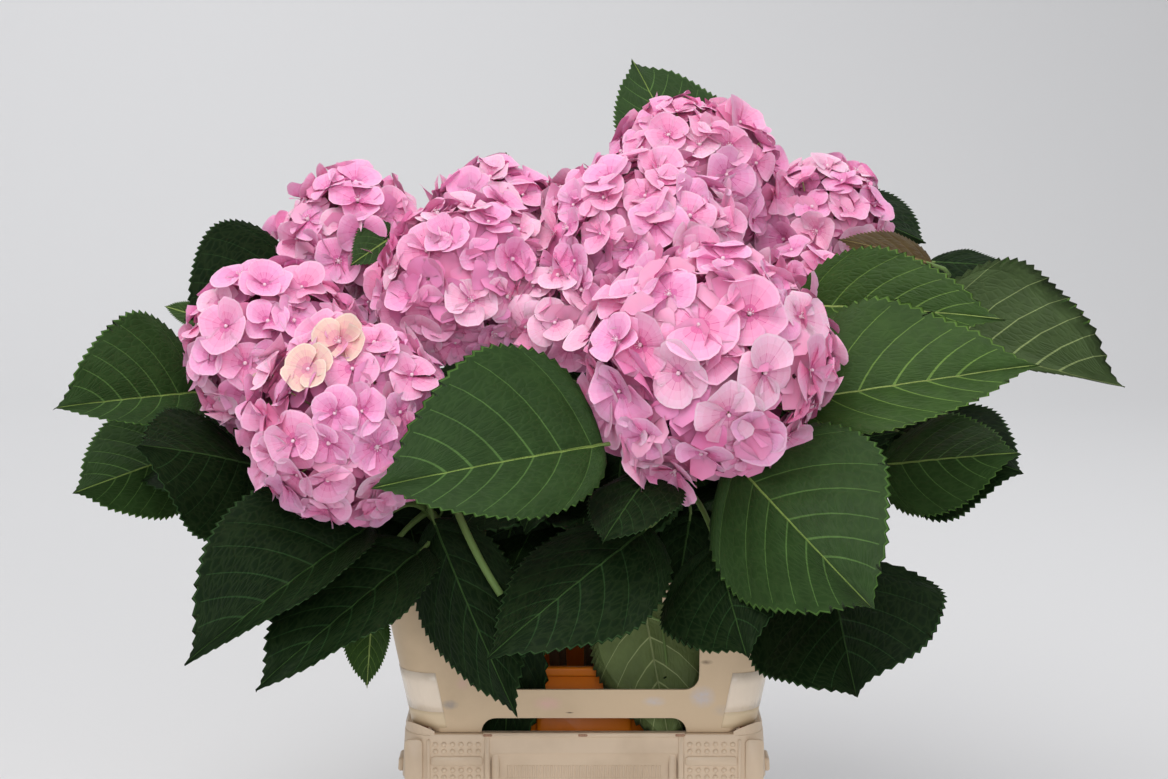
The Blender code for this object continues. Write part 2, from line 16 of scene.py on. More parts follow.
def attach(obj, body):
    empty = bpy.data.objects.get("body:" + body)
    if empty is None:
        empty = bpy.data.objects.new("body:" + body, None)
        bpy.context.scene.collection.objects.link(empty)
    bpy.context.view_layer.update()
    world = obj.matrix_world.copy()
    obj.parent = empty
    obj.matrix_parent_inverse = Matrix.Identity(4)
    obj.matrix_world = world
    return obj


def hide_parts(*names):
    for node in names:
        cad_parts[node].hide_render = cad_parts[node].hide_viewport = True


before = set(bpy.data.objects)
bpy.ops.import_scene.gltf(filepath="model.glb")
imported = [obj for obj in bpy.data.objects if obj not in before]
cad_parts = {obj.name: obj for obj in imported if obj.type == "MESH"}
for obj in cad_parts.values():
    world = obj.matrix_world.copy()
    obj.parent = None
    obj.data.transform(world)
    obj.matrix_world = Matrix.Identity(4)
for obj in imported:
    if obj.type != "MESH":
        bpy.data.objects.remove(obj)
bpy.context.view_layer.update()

MM = 0.001


# ---------------------------------------------------------------- finishes

# Sockets of a Mix node that mixes colours
MIX_SHARE, MIX_FROM, MIX_TO, MIXED = 0, 6, 7, 2

# Each tone of sepal, from its heart to its margin, and its veins
SEPAL_TONES = {
    "cool": ("E07AB0", "EE98C6", "F2A4CF", "F4AED5", "F7BCDC"),
    "warm": ("E078AA", "EE97C0", "F2A4CA", "F4AED1", "F7BCD9"),
    "pale": ("E68EB8", "F0ACCB", "F4B9D4", "F6C2DB", "F8CCE1"),
    "cream": ("E294AE", "E9AAB4", "ECC0BA", "EECABE", "F2D8CC"),
}
SEPAL_VEINS = {"cool": "D85F9E", "warm": "D86099", "pale": "DC7AAA", "cream": "DE9AA8"}
SEPAL_PLACES = ("heart", "inner", "middle", "outer", "margin")
TONES = len(SEPAL_PLACES)
HEART_COLOURS = (("bead", "F4CFDD"), ("stamen", "F6DDE6"), ("shaded", "EC84B6"))
CANE_COLOURS = (("foot", "6B5238"), ("middle", "6F6A3E"), ("top", "6C8446"))
STALK_COLOURS = (("leaf_stalk", "688244"), ("flower_stalk", "9DAA6C"))
BEAD, STAMEN, SHADED = (len(SEPAL_TONES) * (TONES + 1) + extra for extra in range(3))

# Each kind of leaf: top, side veins, midrib, rim, underside, and the veins under it
LEAF_TONES = {
    "fresh": ("314B1D", "62803A", "9DB265", "54742F", "425430", "8A9A64"),
    "deep": ("283F1C", "4A6834", "839C50", "42622A", "42543A", "6C7E54"),
    # The dark kind is painted shade: near-black greens that stand for leaves deep in the bush's shade.
    "dark": ("10200D", "223A1E", "3A562C", "284022", "2C3C22", "4A5A3A"),
    "bronze": ("4C3C24", "64502E", "857448", "6C5A30", "5A4C30", "7C6E4C"),
    "olive": ("334F1C", "5C7A36", "8FA656", "6C7E48", "6A7A48", "A2AE78"),
}
LEAF_SHEENS = {"fresh": 0.2, "deep": 0.14, "dark": 0.07, "bronze": 0.14, "olive": 0.2}
LEAF_PLACES = ("top", "side_vein", "midrib", "rim", "under", "under_vein")
TOP, SIDE_VEIN, MIDRIB, RIM, UNDER, UNDER_VEIN = range(len(LEAF_PLACES))
FRESH, DEEP, SHADED_DARK, BRONZE, OLIVE = range(len(LEAF_TONES))
# Cells of a leaf's finest veins, across the blade and along it, for each millimetre. The real net is too fine
# to show, so it is drawn coarser.
VEIN_NET = (1 / 4.2, 1 / 9, 1)
NET_FLANK = 0.2  # how far into a cell the side of a fine vein reaches
NET_RELIEF = 0.22
NET_PALER = (0.006, 0.009, 0.003)  # how much nearer to white the cells' edges are, in each channel
LEAF_SHADES = (0.7, 1.3)  # darkest and lightest blots, against a leaf's colour
SEPAL_RIBS = (14.0, 1.6, 1.0)  # waves of ribs over a sepal's half width, and over its length
SEPAL_RIB_RELIEF = 0.5
SEPAL_GLOW = (1.0, 0.45, 0.7)  # how far each channel of light spreads in a sepal, against the others
DIRT_SPAN = (0.5, 0.75)  # the wide blots' strength where dirt starts, and where it is full
SINK_RELIEF = 1.2
LEAF_STALK, FLOWER_STALK = 0, 1


def linear(hexes):
    """A colour's linear values from its sRGB hex."""
    parts = [int(hexes[i : i + 2], 16) / 255 for i in (0, 2, 4)]
    return tuple(c / 12.92 if c <= 0.04045 else ((c + 0.055) / 1.055) ** 2.4 for c in parts)


def node(tree, kind, inputs=(), **settings):
    """Adds a node with its settings. Each input is a value, or another node's output to link."""
    made = tree.nodes.new(kind)
    for name, value in settings.items():
        setattr(made, name, value)
    for name, value in dict(inputs).items():
        if isinstance(value, bpy.types.NodeSocket):
            tree.links.new(value, made.inputs[name])
        else:
            made.inputs[name].default_value = value
    return made


def finish(name, colour, roughness, ior=1.45, **sockets):
    """A material with a Principled shader: its tree and shader, ready for relief and wear."""
    made = bpy.data.materials.new(name)
    made.use_nodes = True
    shader = made.node_tree.nodes["Principled BSDF"]
    shader.inputs["Base Color"].default_value = (*linear(colour), 1)
    shader.inputs["Roughness"].default_value = roughness
    shader.inputs["IOR"].default_value = ior
    for socket, value in sockets.items():
        shader.inputs[socket.replace("_", " ")].default_value = value
    return made, made.node_tree, shader


def broken_up(tree, shader, size_mm, rough, depth_mm, detail=2.0, below=None, place=None):
    """Blots that vary a finish's roughness and stand proud by a depth, over any relief below."""
    place = place or node(tree, "ShaderNodeTexCoord").outputs["Object"]
    spread = {"Vector": place, "Scale": 1 / (size_mm * MM), "Detail": detail}
    blots = node(tree, "ShaderNodeTexNoise", spread).outputs["Fac"]
    gloss = node(tree, "ShaderNodeMapRange", {"Value": blots, "To Min": rough[0], "To Max": rough[1]})
    tree.links.new(gloss.outputs["Result"], shader.inputs["Roughness"])
    height = {"Height": blots, "Distance": depth_mm * MM}
    if below:
        height["Normal"] = below
    bump = node(tree, "ShaderNodeBump", height)
    tree.links.new(bump.outputs["Normal"], shader.inputs["Normal"])
    return blots


def sepal_finish(name, colour):
    """Hydrangea sepal, fresh: thin waxy tissue, so matt and softly lit through, with fine ribs."""
    waxy = {"Specular_IOR_Level": 0.18, "Subsurface_Weight": 0.35, "Subsurface_Scale": 0.004}
    made, tree, shader = finish("sepal_" + name, colour, roughness=0.6, **waxy)
    shader.inputs["Subsurface Radius"].default_value = SEPAL_GLOW
    petal = node(tree, "ShaderNodeUVMap", uv_map="petal").outputs["UV"]
    along = node(tree, "ShaderNodeMapping", {"Vector": petal, "Scale": SEPAL_RIBS}).outputs["Vector"]
    ribs = node(tree, "ShaderNodeTexNoise", {"Vector": along, "Scale": 1.0}).outputs["Fac"]
    relief = {"Height": ribs, "Distance": SEPAL_RIB_RELIEF * MM}
    bump = node(tree, "ShaderNodeBump", relief).outputs["Normal"]
    broken_up(tree, shader, size_mm=3, rough=(0.52, 0.72), depth_mm=0.1, below=bump)
    return made


def leaf_finish(name, colour, sheen):
    """Hydrangea leaf, living: a thin wax over a net of fine veins, so a soft broken sheen."""
    made, tree, shader = finish("leaf_" + name, colour, roughness=0.5, Specular_IOR_Level=sheen)
    blade = node(tree, "ShaderNodeUVMap", uv_map="petal").outputs["UV"]
    sized = node(tree, "ShaderNodeMapping", {"Vector": blade, "Scale": VEIN_NET}).outputs["Vector"]
    net = {"Vector": sized, "Scale": 1.0}
    cells = node(tree, "ShaderNodeTexVoronoi", net, feature="DISTANCE_TO_EDGE").outputs["Distance"]
    puffed = node(tree, "ShaderNodeMapRange", {"Value": cells, "From Max": NET_FLANK}).outputs["Result"]
    relief = {"Height": puffed, "Distance": NET_RELIEF * MM}
    bump = node(tree, "ShaderNodeBump", relief).outputs["Normal"]
    blots = broken_up(tree, shader, size_mm=17, rough=(0.42, 0.6), depth_mm=0.6, below=bump)
    base = linear(colour)
    paler = tuple(value + (1 - value) * share for value, share in zip(base, NET_PALER))
    tints = {MIX_SHARE: puffed, MIX_FROM: (*paler, 1), MIX_TO: (*base, 1)}
    netted = node(tree, "ShaderNodeMix", tints, data_type="RGBA").outputs[MIXED]
    spread = {"Value": blots, "To Min": LEAF_SHADES[0], "To Max": LEAF_SHADES[1]}
    shade = node(tree, "ShaderNodeMapRange", spread).outputs["Result"]
    uneven = node(tree, "ShaderNodeVectorMath", {0: netted, 1: shade}, operation="MULTIPLY")
    tree.links.new(uneven.outputs[0], shader.inputs["Base Color"])
    return made


def cane_finish(name, colour):
    """Hydrangea cane, young: ridged green skin that turns to brown bark lower down."""
    made, tree, shader = finish("cane_" + name, colour, roughness=0.6)
    broken_up(tree, shader, size_mm=3, rough=(0.48, 0.75), depth_mm=0.5, detail=3.0)
    return made


def plastic_finish(name, colour, dirt, rough=(0.34, 0.52), blot_mm=60, grime=0.32):
    """Moulded polypropylene, used: satin, with faint sinks, ground-in dirt and scuffs, drawn coarser."""
    made, tree, shader = finish(name, colour, roughness=0.42, ior=1.49)
    place = node(tree, "ShaderNodeTexCoord").outputs["Object"]
    spread = {"Vector": place, "Scale": 1 / (blot_mm * MM), "Detail": 4.0}
    wide = node(tree, "ShaderNodeTexNoise", spread).outputs["Fac"]
    dirty = {"Value": wide, "From Min": DIRT_SPAN[0], "From Max": DIRT_SPAN[1], "To Max": grime}
    patch = node(tree, "ShaderNodeMapRange", dirty)
    tints = {MIX_SHARE: patch.outputs["Result"], MIX_FROM: (*linear(colour), 1), MIX_TO: (*linear(dirt), 1)}
    tint = node(tree, "ShaderNodeMix", tints, data_type="RGBA")
    tree.links.new(tint.outputs[MIXED], shader.inputs["Base Color"])
    relief = {"Height": wide, "Distance": SINK_RELIEF * MM}
    sinks = node(tree, "ShaderNodeBump", relief).outputs["Normal"]
    broken_up(tree, shader, size_mm=5, rough=rough, depth_mm=0.12, detail=4.0, below=sinks, place=place)
    return made


# ---------------------------------------------------------------- joined skins


WELD = 1e-7  # metres within which points become one
UPRIGHT, STEEP = 0.9, 0.8  # how upright a facing, or a path, is before another guide is used


def unit(vectors):
    """The vectors, each made one unit long."""
    return vectors / np.linalg.norm(vectors, axis=-1, keepdims=True)


def across(out, spin):
    """For each direction, two more that are square to it and to each other, turned by spin about it."""
    guide = np.where(np.abs(out[..., 2:3]) < UPRIGHT, (0.0, 0.0, 1.0), (1.0, 0.0, 0.0))
    first = unit(np.cross(guide, out))
    second = np.cross(out, first)
    cos, sin = np.cos(spin)[..., None], np.sin(spin)[..., None]
    return first * cos + second * sin, second * cos - first * sin


class Skin:
    """Quads gathered for one joined mesh, in millimetres, each with the number of its finish."""

    def __init__(self):
        self.points = []
        self.faces = []
        self.finishes = []
        self.petals = []
        self.total = 0

    def add(self, grids, finishes, around=False, petals=None):
        """Adds grids of points (many, rows, columns, 3). Around joins the last column to the first."""
        many, rows, columns = grids.shape[:3]
        index = np.arange(many * rows * columns).reshape(many, rows, columns) + self.total
        if around:
            index = np.concatenate((index, index[:, :, :1]), axis=2)
        faces = np.stack(
            (index[:, :-1, :-1], index[:, :-1, 1:], index[:, 1:, 1:], index[:, 1:, :-1]), axis=-1
        )
        self.points.append(grids.reshape(-1, 3))
        self.faces.append(faces.reshape(-1, 4))
        self.finishes.append(np.broadcast_to(finishes, faces.shape[:3]).reshape(-1))
        places = np.zeros(2) if petals is None else petals
        self.petals.append(np.broadcast_to(places, (many, rows, columns, 2)).reshape(-1, 2))
        self.total += many * rows * columns

    def piece(self, name, finishes, slot, nodes=()):
        """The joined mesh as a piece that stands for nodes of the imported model."""
        faces = np.concatenate(self.faces)
        mesh = bpy.data.meshes.new(name)
        mesh.from_pydata((np.concatenate(self.points) * MM).tolist(), [], faces.tolist())
        for each in finishes:
            mesh.materials.append(each)
        mesh.polygons.foreach_set("material_index", np.concatenate(self.finishes).astype(np.int32))
        mesh.polygons.foreach_set("use_smooth", np.ones(len(faces), bool))
        layer = mesh.uv_layers.new(name="petal")
        layer.data.foreach_set("uv", np.concatenate(self.petals)[faces.reshape(-1)].reshape(-1))
        bm = bmesh.new()
        bm.from_mesh(mesh)
        bmesh.ops.remove_doubles(bm, verts=bm.verts, dist=WELD)
        bm.to_mesh(mesh)
        bm.free()
        return seated(bpy.data.objects.new(name, mesh), nodes)


def seated(piece, nodes=()):
    """Links a piece, rides it on the one body, and hides the nodes it stands for."""
    bpy.context.scene.collection.objects.link(piece)
    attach(piece, "root")
    if nodes:
        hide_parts(*nodes)
    return piece


def tubes(paths, radii, sides):
    """Round skins about paths (many, rows, 3), with radii (many or 1, rows, or also sides)."""
    along = unit(np.gradient(paths, axis=1))
    trend = unit(paths[:, -1:] - paths[:, :1])
    guide = np.where(np.abs(trend[..., 2:3]) < STEEP, (0.0, 0.0, 1.0), (1.0, 0.0, 0.0))
    first = unit(np.cross(guide, along))
    second = np.cross(along, first)
    turn = np.arange(sides) / sides * 2 * np.pi
    ring = first[:, :, None] * np.cos(turn)[:, None] + second[:, :, None] * np.sin(turn)[:, None]
    radii = radii if radii.ndim == 3 else radii[..., None]
    return paths[:, :, None] + ring * radii[..., None]


def balls(centres, out, radii, sides=6, rings=4):
    """Small balls round their own axes."""
    first, second = across(out, np.zeros(len(out)))
    turn = np.arange(sides) / sides * 2 * np.pi
    lift = np.linspace(-np.pi / 2, np.pi / 2, rings + 1)[:, None]
    ring = first[:, None, None] * np.cos(turn)[:, None] + second[:, None, None] * np.sin(turn)[:, None]
    shape = ring * np.cos(lift)[..., None] + out[:, None, None] * np.sin(lift)[..., None]
    return centres[:, None, None] + shape * radii[:, None, None, None]


def curve_through(a, b, c, d, share):
    """Points of Bezier curves. Ends and pulls are (many, 3), and share is (rows,)."""
    t = share[None, :, None]
    a, b, c, d = (np.atleast_2d(p)[:, None] for p in (a, b, c, d))
    rest = 1 - t
    return a * rest**3 + b * 3 * rest**2 * t + c * 3 * rest * t**2 + d * t**3


# ---------------------------------------------------------------- plant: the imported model's places

# Heads, by the cane that carries each: middle and radius
HEADS = {
    "front_right": ((97, -250, 529), 100),
    "front_left": ((-185, -240, 484), 84),
    "right": ((193, -70, 559), 58),
    "outer_left": ((-256, -165, 535), 73),
    "back_right": ((212, 20, 621), 64),
    "top_left": ((-207, 10, 607), 67),
    "middle_left": ((-95, -115, 579), 80),
    "middle": ((48, -130, 607), 87),
    "top": ((98, 5, 662), 79),
    "back_left": ((-77, 15, 621), 62),
    "rear_left": ((-159, 190, 549), 77),
    "rear_right": ((180, 190, 569), 77),
    "rear_middle": ((16, 200, 585), 82),
}
HEAD_UNDERSIDE = 0.6  # depth of the flat under a head, against its radius
FAN_HEIGHT = 210  # every head leans away from the point at this height on the tub's axis
CANE_FOOT_SPREAD = 0.22  # a cane's foot from the tub's axis, against its head
CANE_FOOT_HEIGHT = 7.6
CANE_STAND = 0.6  # how far up a cane stands straight on its foot, and then how far its top lies on the lean
CANE_PULL = 0.36
CANE_RADII = (5.0, 3.6)
CANE_SIDES = 12
GAP = 0.3

# Leaves that show, by the cane they grow on: foot, then azimuth (0 is towards -Y), pitch, roll, length,
# left and right half widths, how far both sides fold up, and the kind of green (dark is painted shade)
BLADES = {
    "top_left": (
        ((-258, -10, 598), -49, -23, 59, 122, 32, 58, 10, SHADED_DARK),
        ((-160, -40, 623), -52, -27, 43, 58, 22, 24, 14, DEEP),
    ),
    "outer_left": (
        ((-322, -110, 492), -43, 1, 52, 152, 42, 74, 25, DEEP),
        ((-328, -80, 441), -44, -10, 59, 138, 46, 56, -15, DEEP),
        ((-335, 5, 541), -90, 17, 70, 42, 11, 11, 10, FRESH),
    ),
    "front_left": (
        ((-268, -180, 440), -37, 15, 60, 135, 66, 60, -20, SHADED_DARK),
        ((-172, -240, 401), -50, -26, 23, 192, 50, 80, 32, SHADED_DARK),
        ((-128, -235, 383), -43, -25, 16, 195, 52, 60, 20, SHADED_DARK),
        ((-172, -224, 328), -4, -60, -13, 64, 19, 22, 16, FRESH),
    ),
    "middle_left": (((-122, -227, 405), 37, -50, -48, 181, 44, 50, -25, SHADED_DARK),),
    "middle": (((47, -166, 336), 49, -76, 132, 142, 50, 50, 6, OLIVE),),
    "front_right": (
        ((15, -290, 476), -70, -7, 59, 188, 56, 92, 20, DEEP),
        ((114, -274, 464), 34, -27, -59, 193, 86, 76, -14, DEEP),
        ((52, -275, 408), -50, -26, 27, 182, 58, 56, -8, SHADED_DARK),
        ((104, -262, 394), 13, -39, -39, 114, 60, 64, -3, SHADED_DARK),
        ((56, -270, 454), -28, -26, 1, 100, 38, 38, -3, SHADED_DARK),
    ),
    "right": (
        ((157, -216, 497), 81, 10, -52, 209, 74, 52, 24, FRESH),
        ((176, -132, 568), 65, -1, -58, 180, 52, 44, 25, FRESH),
        ((199, -225, 367), 4, -31, -25, 145, 82, 82, -10, SHADED_DARK),
        ((244, -156, 436), 48, 11, -59, 140, 48, 44, -12, DEEP),
    ),
    "back_right": (
        ((292, -60, 539), 75, -14, 138, 180, 50, 76, -40, FRESH),
        ((262, -130, 462), 37, -6, -58, 145, 54, 62, -25, SHADED_DARK),
        ((302, -52, 596), -79, 15, 43, 88, 24, 24, 0, BRONZE),
        ((306, -10, 594), 59, -1, -34, 75, 20, 20, 0, SHADED_DARK),
        ((225, 112, 642), 45, -16, -35, 122, 40, 30, -5, SHADED_DARK),
    ),
    "top": (((98, 100, 665), -154, 42, 18, 160, 48, 60, 8, DEEP),),
}

# Small or half hidden leaves, as the rows above, on thinner stalks. Most take the dark kind, painted shade in
# the gaps where they sit.
TUCKED = {
    "back_left": (((-64, 60, 655), -90, 78, 75, 34, 8, 8, 10, DEEP),),
    "outer_left": (((-258, -150, 482), -90, -25, 75, 84, 28, 28, 0, SHADED_DARK),),
    "front_left": (((-115, -150, 410), -75, -39, 75, 96, 30, 30, 0, SHADED_DARK),),
    "middle_left": (
        ((-66, -166, 500), -90, 15, 75, 64, 20, 20, 0, SHADED_DARK),
        ((-48, -138, 525), -90, 0, 80, 56, 14, 14, 0, SHADED_DARK),
        ((-50, -182, 424), -79, -73, 85, 112, 34, 36, 0, SHADED_DARK),
    ),
    "front_right": (((88, -190, 402), -27, -68, 0, 84, 28, 28, 0, SHADED_DARK),),
    "middle": (
        ((54, -201, 318), -90, 30, 20, 26, 8, 6, 35, FRESH),
        ((-58, -178, 318), -90, -86, 80, 146, 30, 32, -5, SHADED_DARK),
        ((70, -174, 262), 90, -86, -80, 92, 20, 20, -5, SHADED_DARK),
        ((-48, -158, 548), 90, -12, -75, 92, 32, 32, 0, SHADED_DARK),
    ),
    "right": (
        ((172, -142, 446), 90, 10, -60, 94, 26, 24, 0, SHADED_DARK),
        ((220, -105, 464), 90, -25, -70, 76, 24, 24, 0, SHADED_DARK),
    ),
}

FAR_CANES = ("outer_left", "top_left", "back_right", "right", "rear_left", "rear_middle", "rear_right")
FAR_BLADE_LENGTH = 175
FAR_BLADE_HALF_WIDTH = 64
FAR_TIERS = ((0.84, -10, (-34, 38)), (0.68, -26, (2,)))  # share of the cane, pitch, and turns from its lean
FAR_STALK = 34
FAR_FOLD = -8
FAR_SPREAD = (20, 25, 0.15, 0.2)  # most that a far blade's pitch, roll, width and length vary
FAR_NOISE = (3.1, 7.7, 0.05, 1.3)  # steps in the noise from turn to turn, tier to tier and degree to degree
FRONT_LIMIT = 0.15  # far blades that point further towards the front are left out
STALK_PLACES = (0.64, 0.68, 0.72, 0.76, 0.80, 0.84)


def head_axis(centre):
    """The way a head points, as its cane brings it."""
    return unit(np.array(centre, float) - (0, 0, FAN_HEIGHT))


def cane_route(centre, radius):
    """The four control points of a cane's curve, from the bucket's floor to the flat under its head."""
    axis = head_axis(centre)
    foot = np.array((centre[0] * CANE_FOOT_SPREAD, centre[1] * CANE_FOOT_SPREAD, CANE_FOOT_HEIGHT))
    end = np.array(centre, float) - axis * (radius * HEAD_UNDERSIDE + GAP)
    rise = end[2] - foot[2]
    return foot, foot + (0, 0, rise * CANE_STAND), end - axis * rise * CANE_PULL, end


def on_cane(route, share):
    """The point at a share of the way up a cane."""
    return curve_through(*route, np.array([share]))[0, 0]


def blade_axes(azimuth, pitch, roll):
    """The directions along a blade, towards its right edge, and out of its face."""
    turn, lift, lean = np.radians((azimuth, pitch, roll))
    along = np.array((np.sin(turn) * np.cos(lift), -np.cos(turn) * np.cos(lift), np.sin(lift)))
    level = np.array((-np.cos(turn), -np.sin(turn), 0))
    upright = np.cross(level, along)
    right = level * np.cos(lean) + upright * np.sin(lean)
    face = upright * np.cos(lean) - level * np.sin(lean)
    return along, right, face


def far_blades(route):
    """Blades on the far side of a cane, fanned about the way it leans."""
    most_pitch, most_roll, most_width, most_length = FAR_SPREAD
    turn_step, tier_step, lean_step, start = FAR_NOISE
    lean = math.degrees(math.atan2(route[3][0], -route[3][1]))
    rows = []
    for tier, (share, pitch, turns) in enumerate(FAR_TIERS):
        for index, turn in enumerate(turns):
            azimuth = lean + turn
            if math.cos(math.radians(azimuth)) > FRONT_LIMIT:
                continue
            jitter = noise.noise(Vector((index * turn_step + tier * tier_step, lean * lean_step, start)))
            angles = (azimuth, pitch + most_pitch * jitter, most_roll * jitter)
            foot = on_cane(route, share) + blade_axes(*angles)[0] * FAR_STALK
            half = FAR_BLADE_HALF_WIDTH * (1 + most_width * jitter)
            length = FAR_BLADE_LENGTH * (1 + most_length * jitter)
            rows.append((foot, *angles, length, half, half, FAR_FOLD))
    return rows


# ---------------------------------------------------------------- plant: florets

# Fine sepals, whose narrow columns are veins, and plain ones for the layers under them. Rows run from the
# heart to the margin, and columns from side to side.
FINE_ROWS = np.array((0.08, 0.26, 0.5, 0.75, 0.94, 1.0))
FINE_COLUMNS = np.array(
    (-1, -0.84, -0.63, -0.42, -0.39, -0.2, -0.015, 0.015, 0.2, 0.39, 0.42, 0.63, 0.84, 1)
)
VEIN_COLUMNS = (3, 6, 9)
ROW_TONES = (0, 1, 2, 3, 4)
PLAIN_ROWS = np.array((0.1, 0.35, 0.65, 0.88, 1.0))
PLAIN_COLUMNS = np.array((-1, -0.6, -0.2, 0.2, 0.6, 1))
FLORET_SIZE = 20.5  # length of a sepal
LARGE_FLORETS = {"front_right": 25.5}
# Depth of each layer's middles under a head's outline, and how many times over they would cover the head if
# they lay flat. The first has fine sepals, and the first two have stalks.
LAYERS = ((8, 1.55), (15, 1.75), (28, 1.4), (44, 0.8))
STALKED = 2
FLORET_FLOOR = -0.62  # lowest florets, as the cosine from the head's axis
HEAD_TILTS = {"front_right": (-0.45, 0.0, 0.1)}  # how a crown leans from the way that its cane points
LOBES = {"middle": ((np.array((-13.0, -154, 562)), 53),)}  # smaller balls that some heads run out into
LOBE_SUNK = 12
# Florets that have stayed cream, by head: roughly where. Others keep the clearance from them.
CREAM_FLORETS = {
    "front_left": ((-190, -286, 566), (-214, -300, 539)),
    "outer_left": ((-252, -226, 512),),
}
CREAM = 3
CREAM_CLEARANCE = 15
CREAM_PROUD = 5

# A sepal's shape. Each is a middle and a spread, against its length, unless it is an angle.
SEPAL_FAN = (1.12, 0.06)  # half angle that it fans over
SEPAL_SHOULDER, SHOULDER_POWER = (0.36, 0.04), 3.4  # how far its margin falls back at the sides
SEPAL_FRILL, FRILL_TURNS = (0.02, 0.012), 8  # ripple along its margin
SEPAL_POINT = (0.03, 0.03)
SEPAL_CUP = (0.12, 0.07)
SEPAL_RECURVE, RECURVE_FROM = (0.45, 0.25), 0.55  # how its outer part bends back, and from where
SEPAL_GUTTER = (0.08, 0.13)
SEPAL_TWIST = (0, 0.1)
SEPAL_WAVE, WAVE_TURNS = (0, 0.09), 4.5
ANY_PHASE = (0, 2)
CREASE_DEPTH, CREASE_WIDTH = 0.02, 0.2

# How a head's florets sit: spread of their facing and depth, lumps of the head, and its narrower underside
FACING_SPREAD, DEPTH_SPREAD = 0.06, 2.2
LUMP_SCALE, LUMP_START, LUMP_HEIGHT = 2.2, 0.013, 0.05
UNDERSIDE_TUCK = 0.25
PRESS_NEAR, PRESS_PAST, PRESS_BACK = 4, 6, 3  # millimetres from a neighbour where florets are pushed aside

# How florets and sepals lean, in radians, and vary in size. Every other sepal lies over its neighbours.
FLORET_LEAN, PLAIN_LEAN = 0.22, 0.25
FLORET_SPREAD, SEPAL_SPREAD = 0.09, 0.07
FLORET_CUP, PLAIN_CUP = (0.12, 0.15), 0.2
SEPAL_TURN, SEPAL_PITCH = 0.09, 0.12
UPPER_PITCH, UPPER_LIFT, PLAIN_LIFT = 0.1, 0.9, 0.8
PETAL_STARTS = (0, 30)  # where a sepal's own ribs start in the pattern
FLORET_TONES = (0.42, 0.36, 0.22)  # shares of cool, warm and pale
SHADED_SIZE = 0.9
DEEPEST = 0.7  # deepest layer, against the radius of the ball it fills

BEAD_HEIGHT, BEAD_RADII = 0.07, (1.5, 2.1)
STAMENS = 7
OPEN_SHARE = 0.3  # florets whose stamens are out
STAMEN_RISE, STAMEN_REACH, STAMEN_BOW, STAMEN_RADIUS, ANTHER_RADIUS = 3.0, 2.6, 0.4, 0.22, 0.55

FORK_RISE = 0.3  # where a head's stalks part, above its underside, against its radius
STALK_PULL = 0.25
STALK_SINK = 0.5
STALK_RADII = np.linspace(1.5, 0.7, 6)
STALK_SIDES = 5


def sepal_grids(reach, rows, columns, rng):
    """Sepals along +Y that face +Z, fanned out from their feet at the origin, as long as reach."""

    def vary(middle, spread):
        """A draw for each sepal."""
        return rng.normal(middle, spread, (len(reach), 1, 1))

    s = columns[None, None, :]
    t = rows[None, :, None]
    long = reach[:, None, None]
    fan = s * vary(*SEPAL_FAN)
    rim = 1 - vary(*SEPAL_SHOULDER) * np.abs(s) ** SHOULDER_POWER
    rim = rim + vary(*SEPAL_FRILL) * np.sin(FRILL_TURNS * s + vary(*ANY_PHASE))
    rim = rim + np.abs(vary(*SEPAL_POINT)) * (1 - np.abs(s)) ** 3
    flat = long * t * rim
    cup = vary(*SEPAL_CUP) * t**2 - vary(*SEPAL_RECURVE) * np.clip(t - RECURVE_FROM, 0, 1) ** 2
    side = vary(*SEPAL_GUTTER) * s**2 * t + vary(*SEPAL_TWIST) * s * t
    wave = vary(*SEPAL_WAVE) * np.sin(WAVE_TURNS * s + vary(*ANY_PHASE)) * t**3
    wave = wave - CREASE_DEPTH * np.exp(-((s / CREASE_WIDTH) ** 2)) * t
    parts = (flat * np.sin(fan), flat * np.cos(fan), long * (cup + side + wave))
    return np.stack(np.broadcast_arrays(*parts), axis=-1)


def laid(grids, centres, first, second, out, turn, pitch, lift):
    """Puts grids that stand at the origin on their florets: turned about out, and pitched up."""
    cos, sin = np.cos(pitch)[:, None, None], np.sin(pitch)[:, None, None]
    x = grids[..., 0:1]
    y = (grids[..., 1] * cos - grids[..., 2] * sin)[..., None]
    z = (grids[..., 1] * sin + grids[..., 2] * cos + lift[:, None, None])[..., None]
    c, s = np.cos(turn)[:, None], np.sin(turn)[:, None]
    way = (first * c + second * s)[:, None, None]
    side = (first * s - second * c)[:, None, None]
    return centres[:, None, None] + side * x + way * y + out[:, None, None] * z


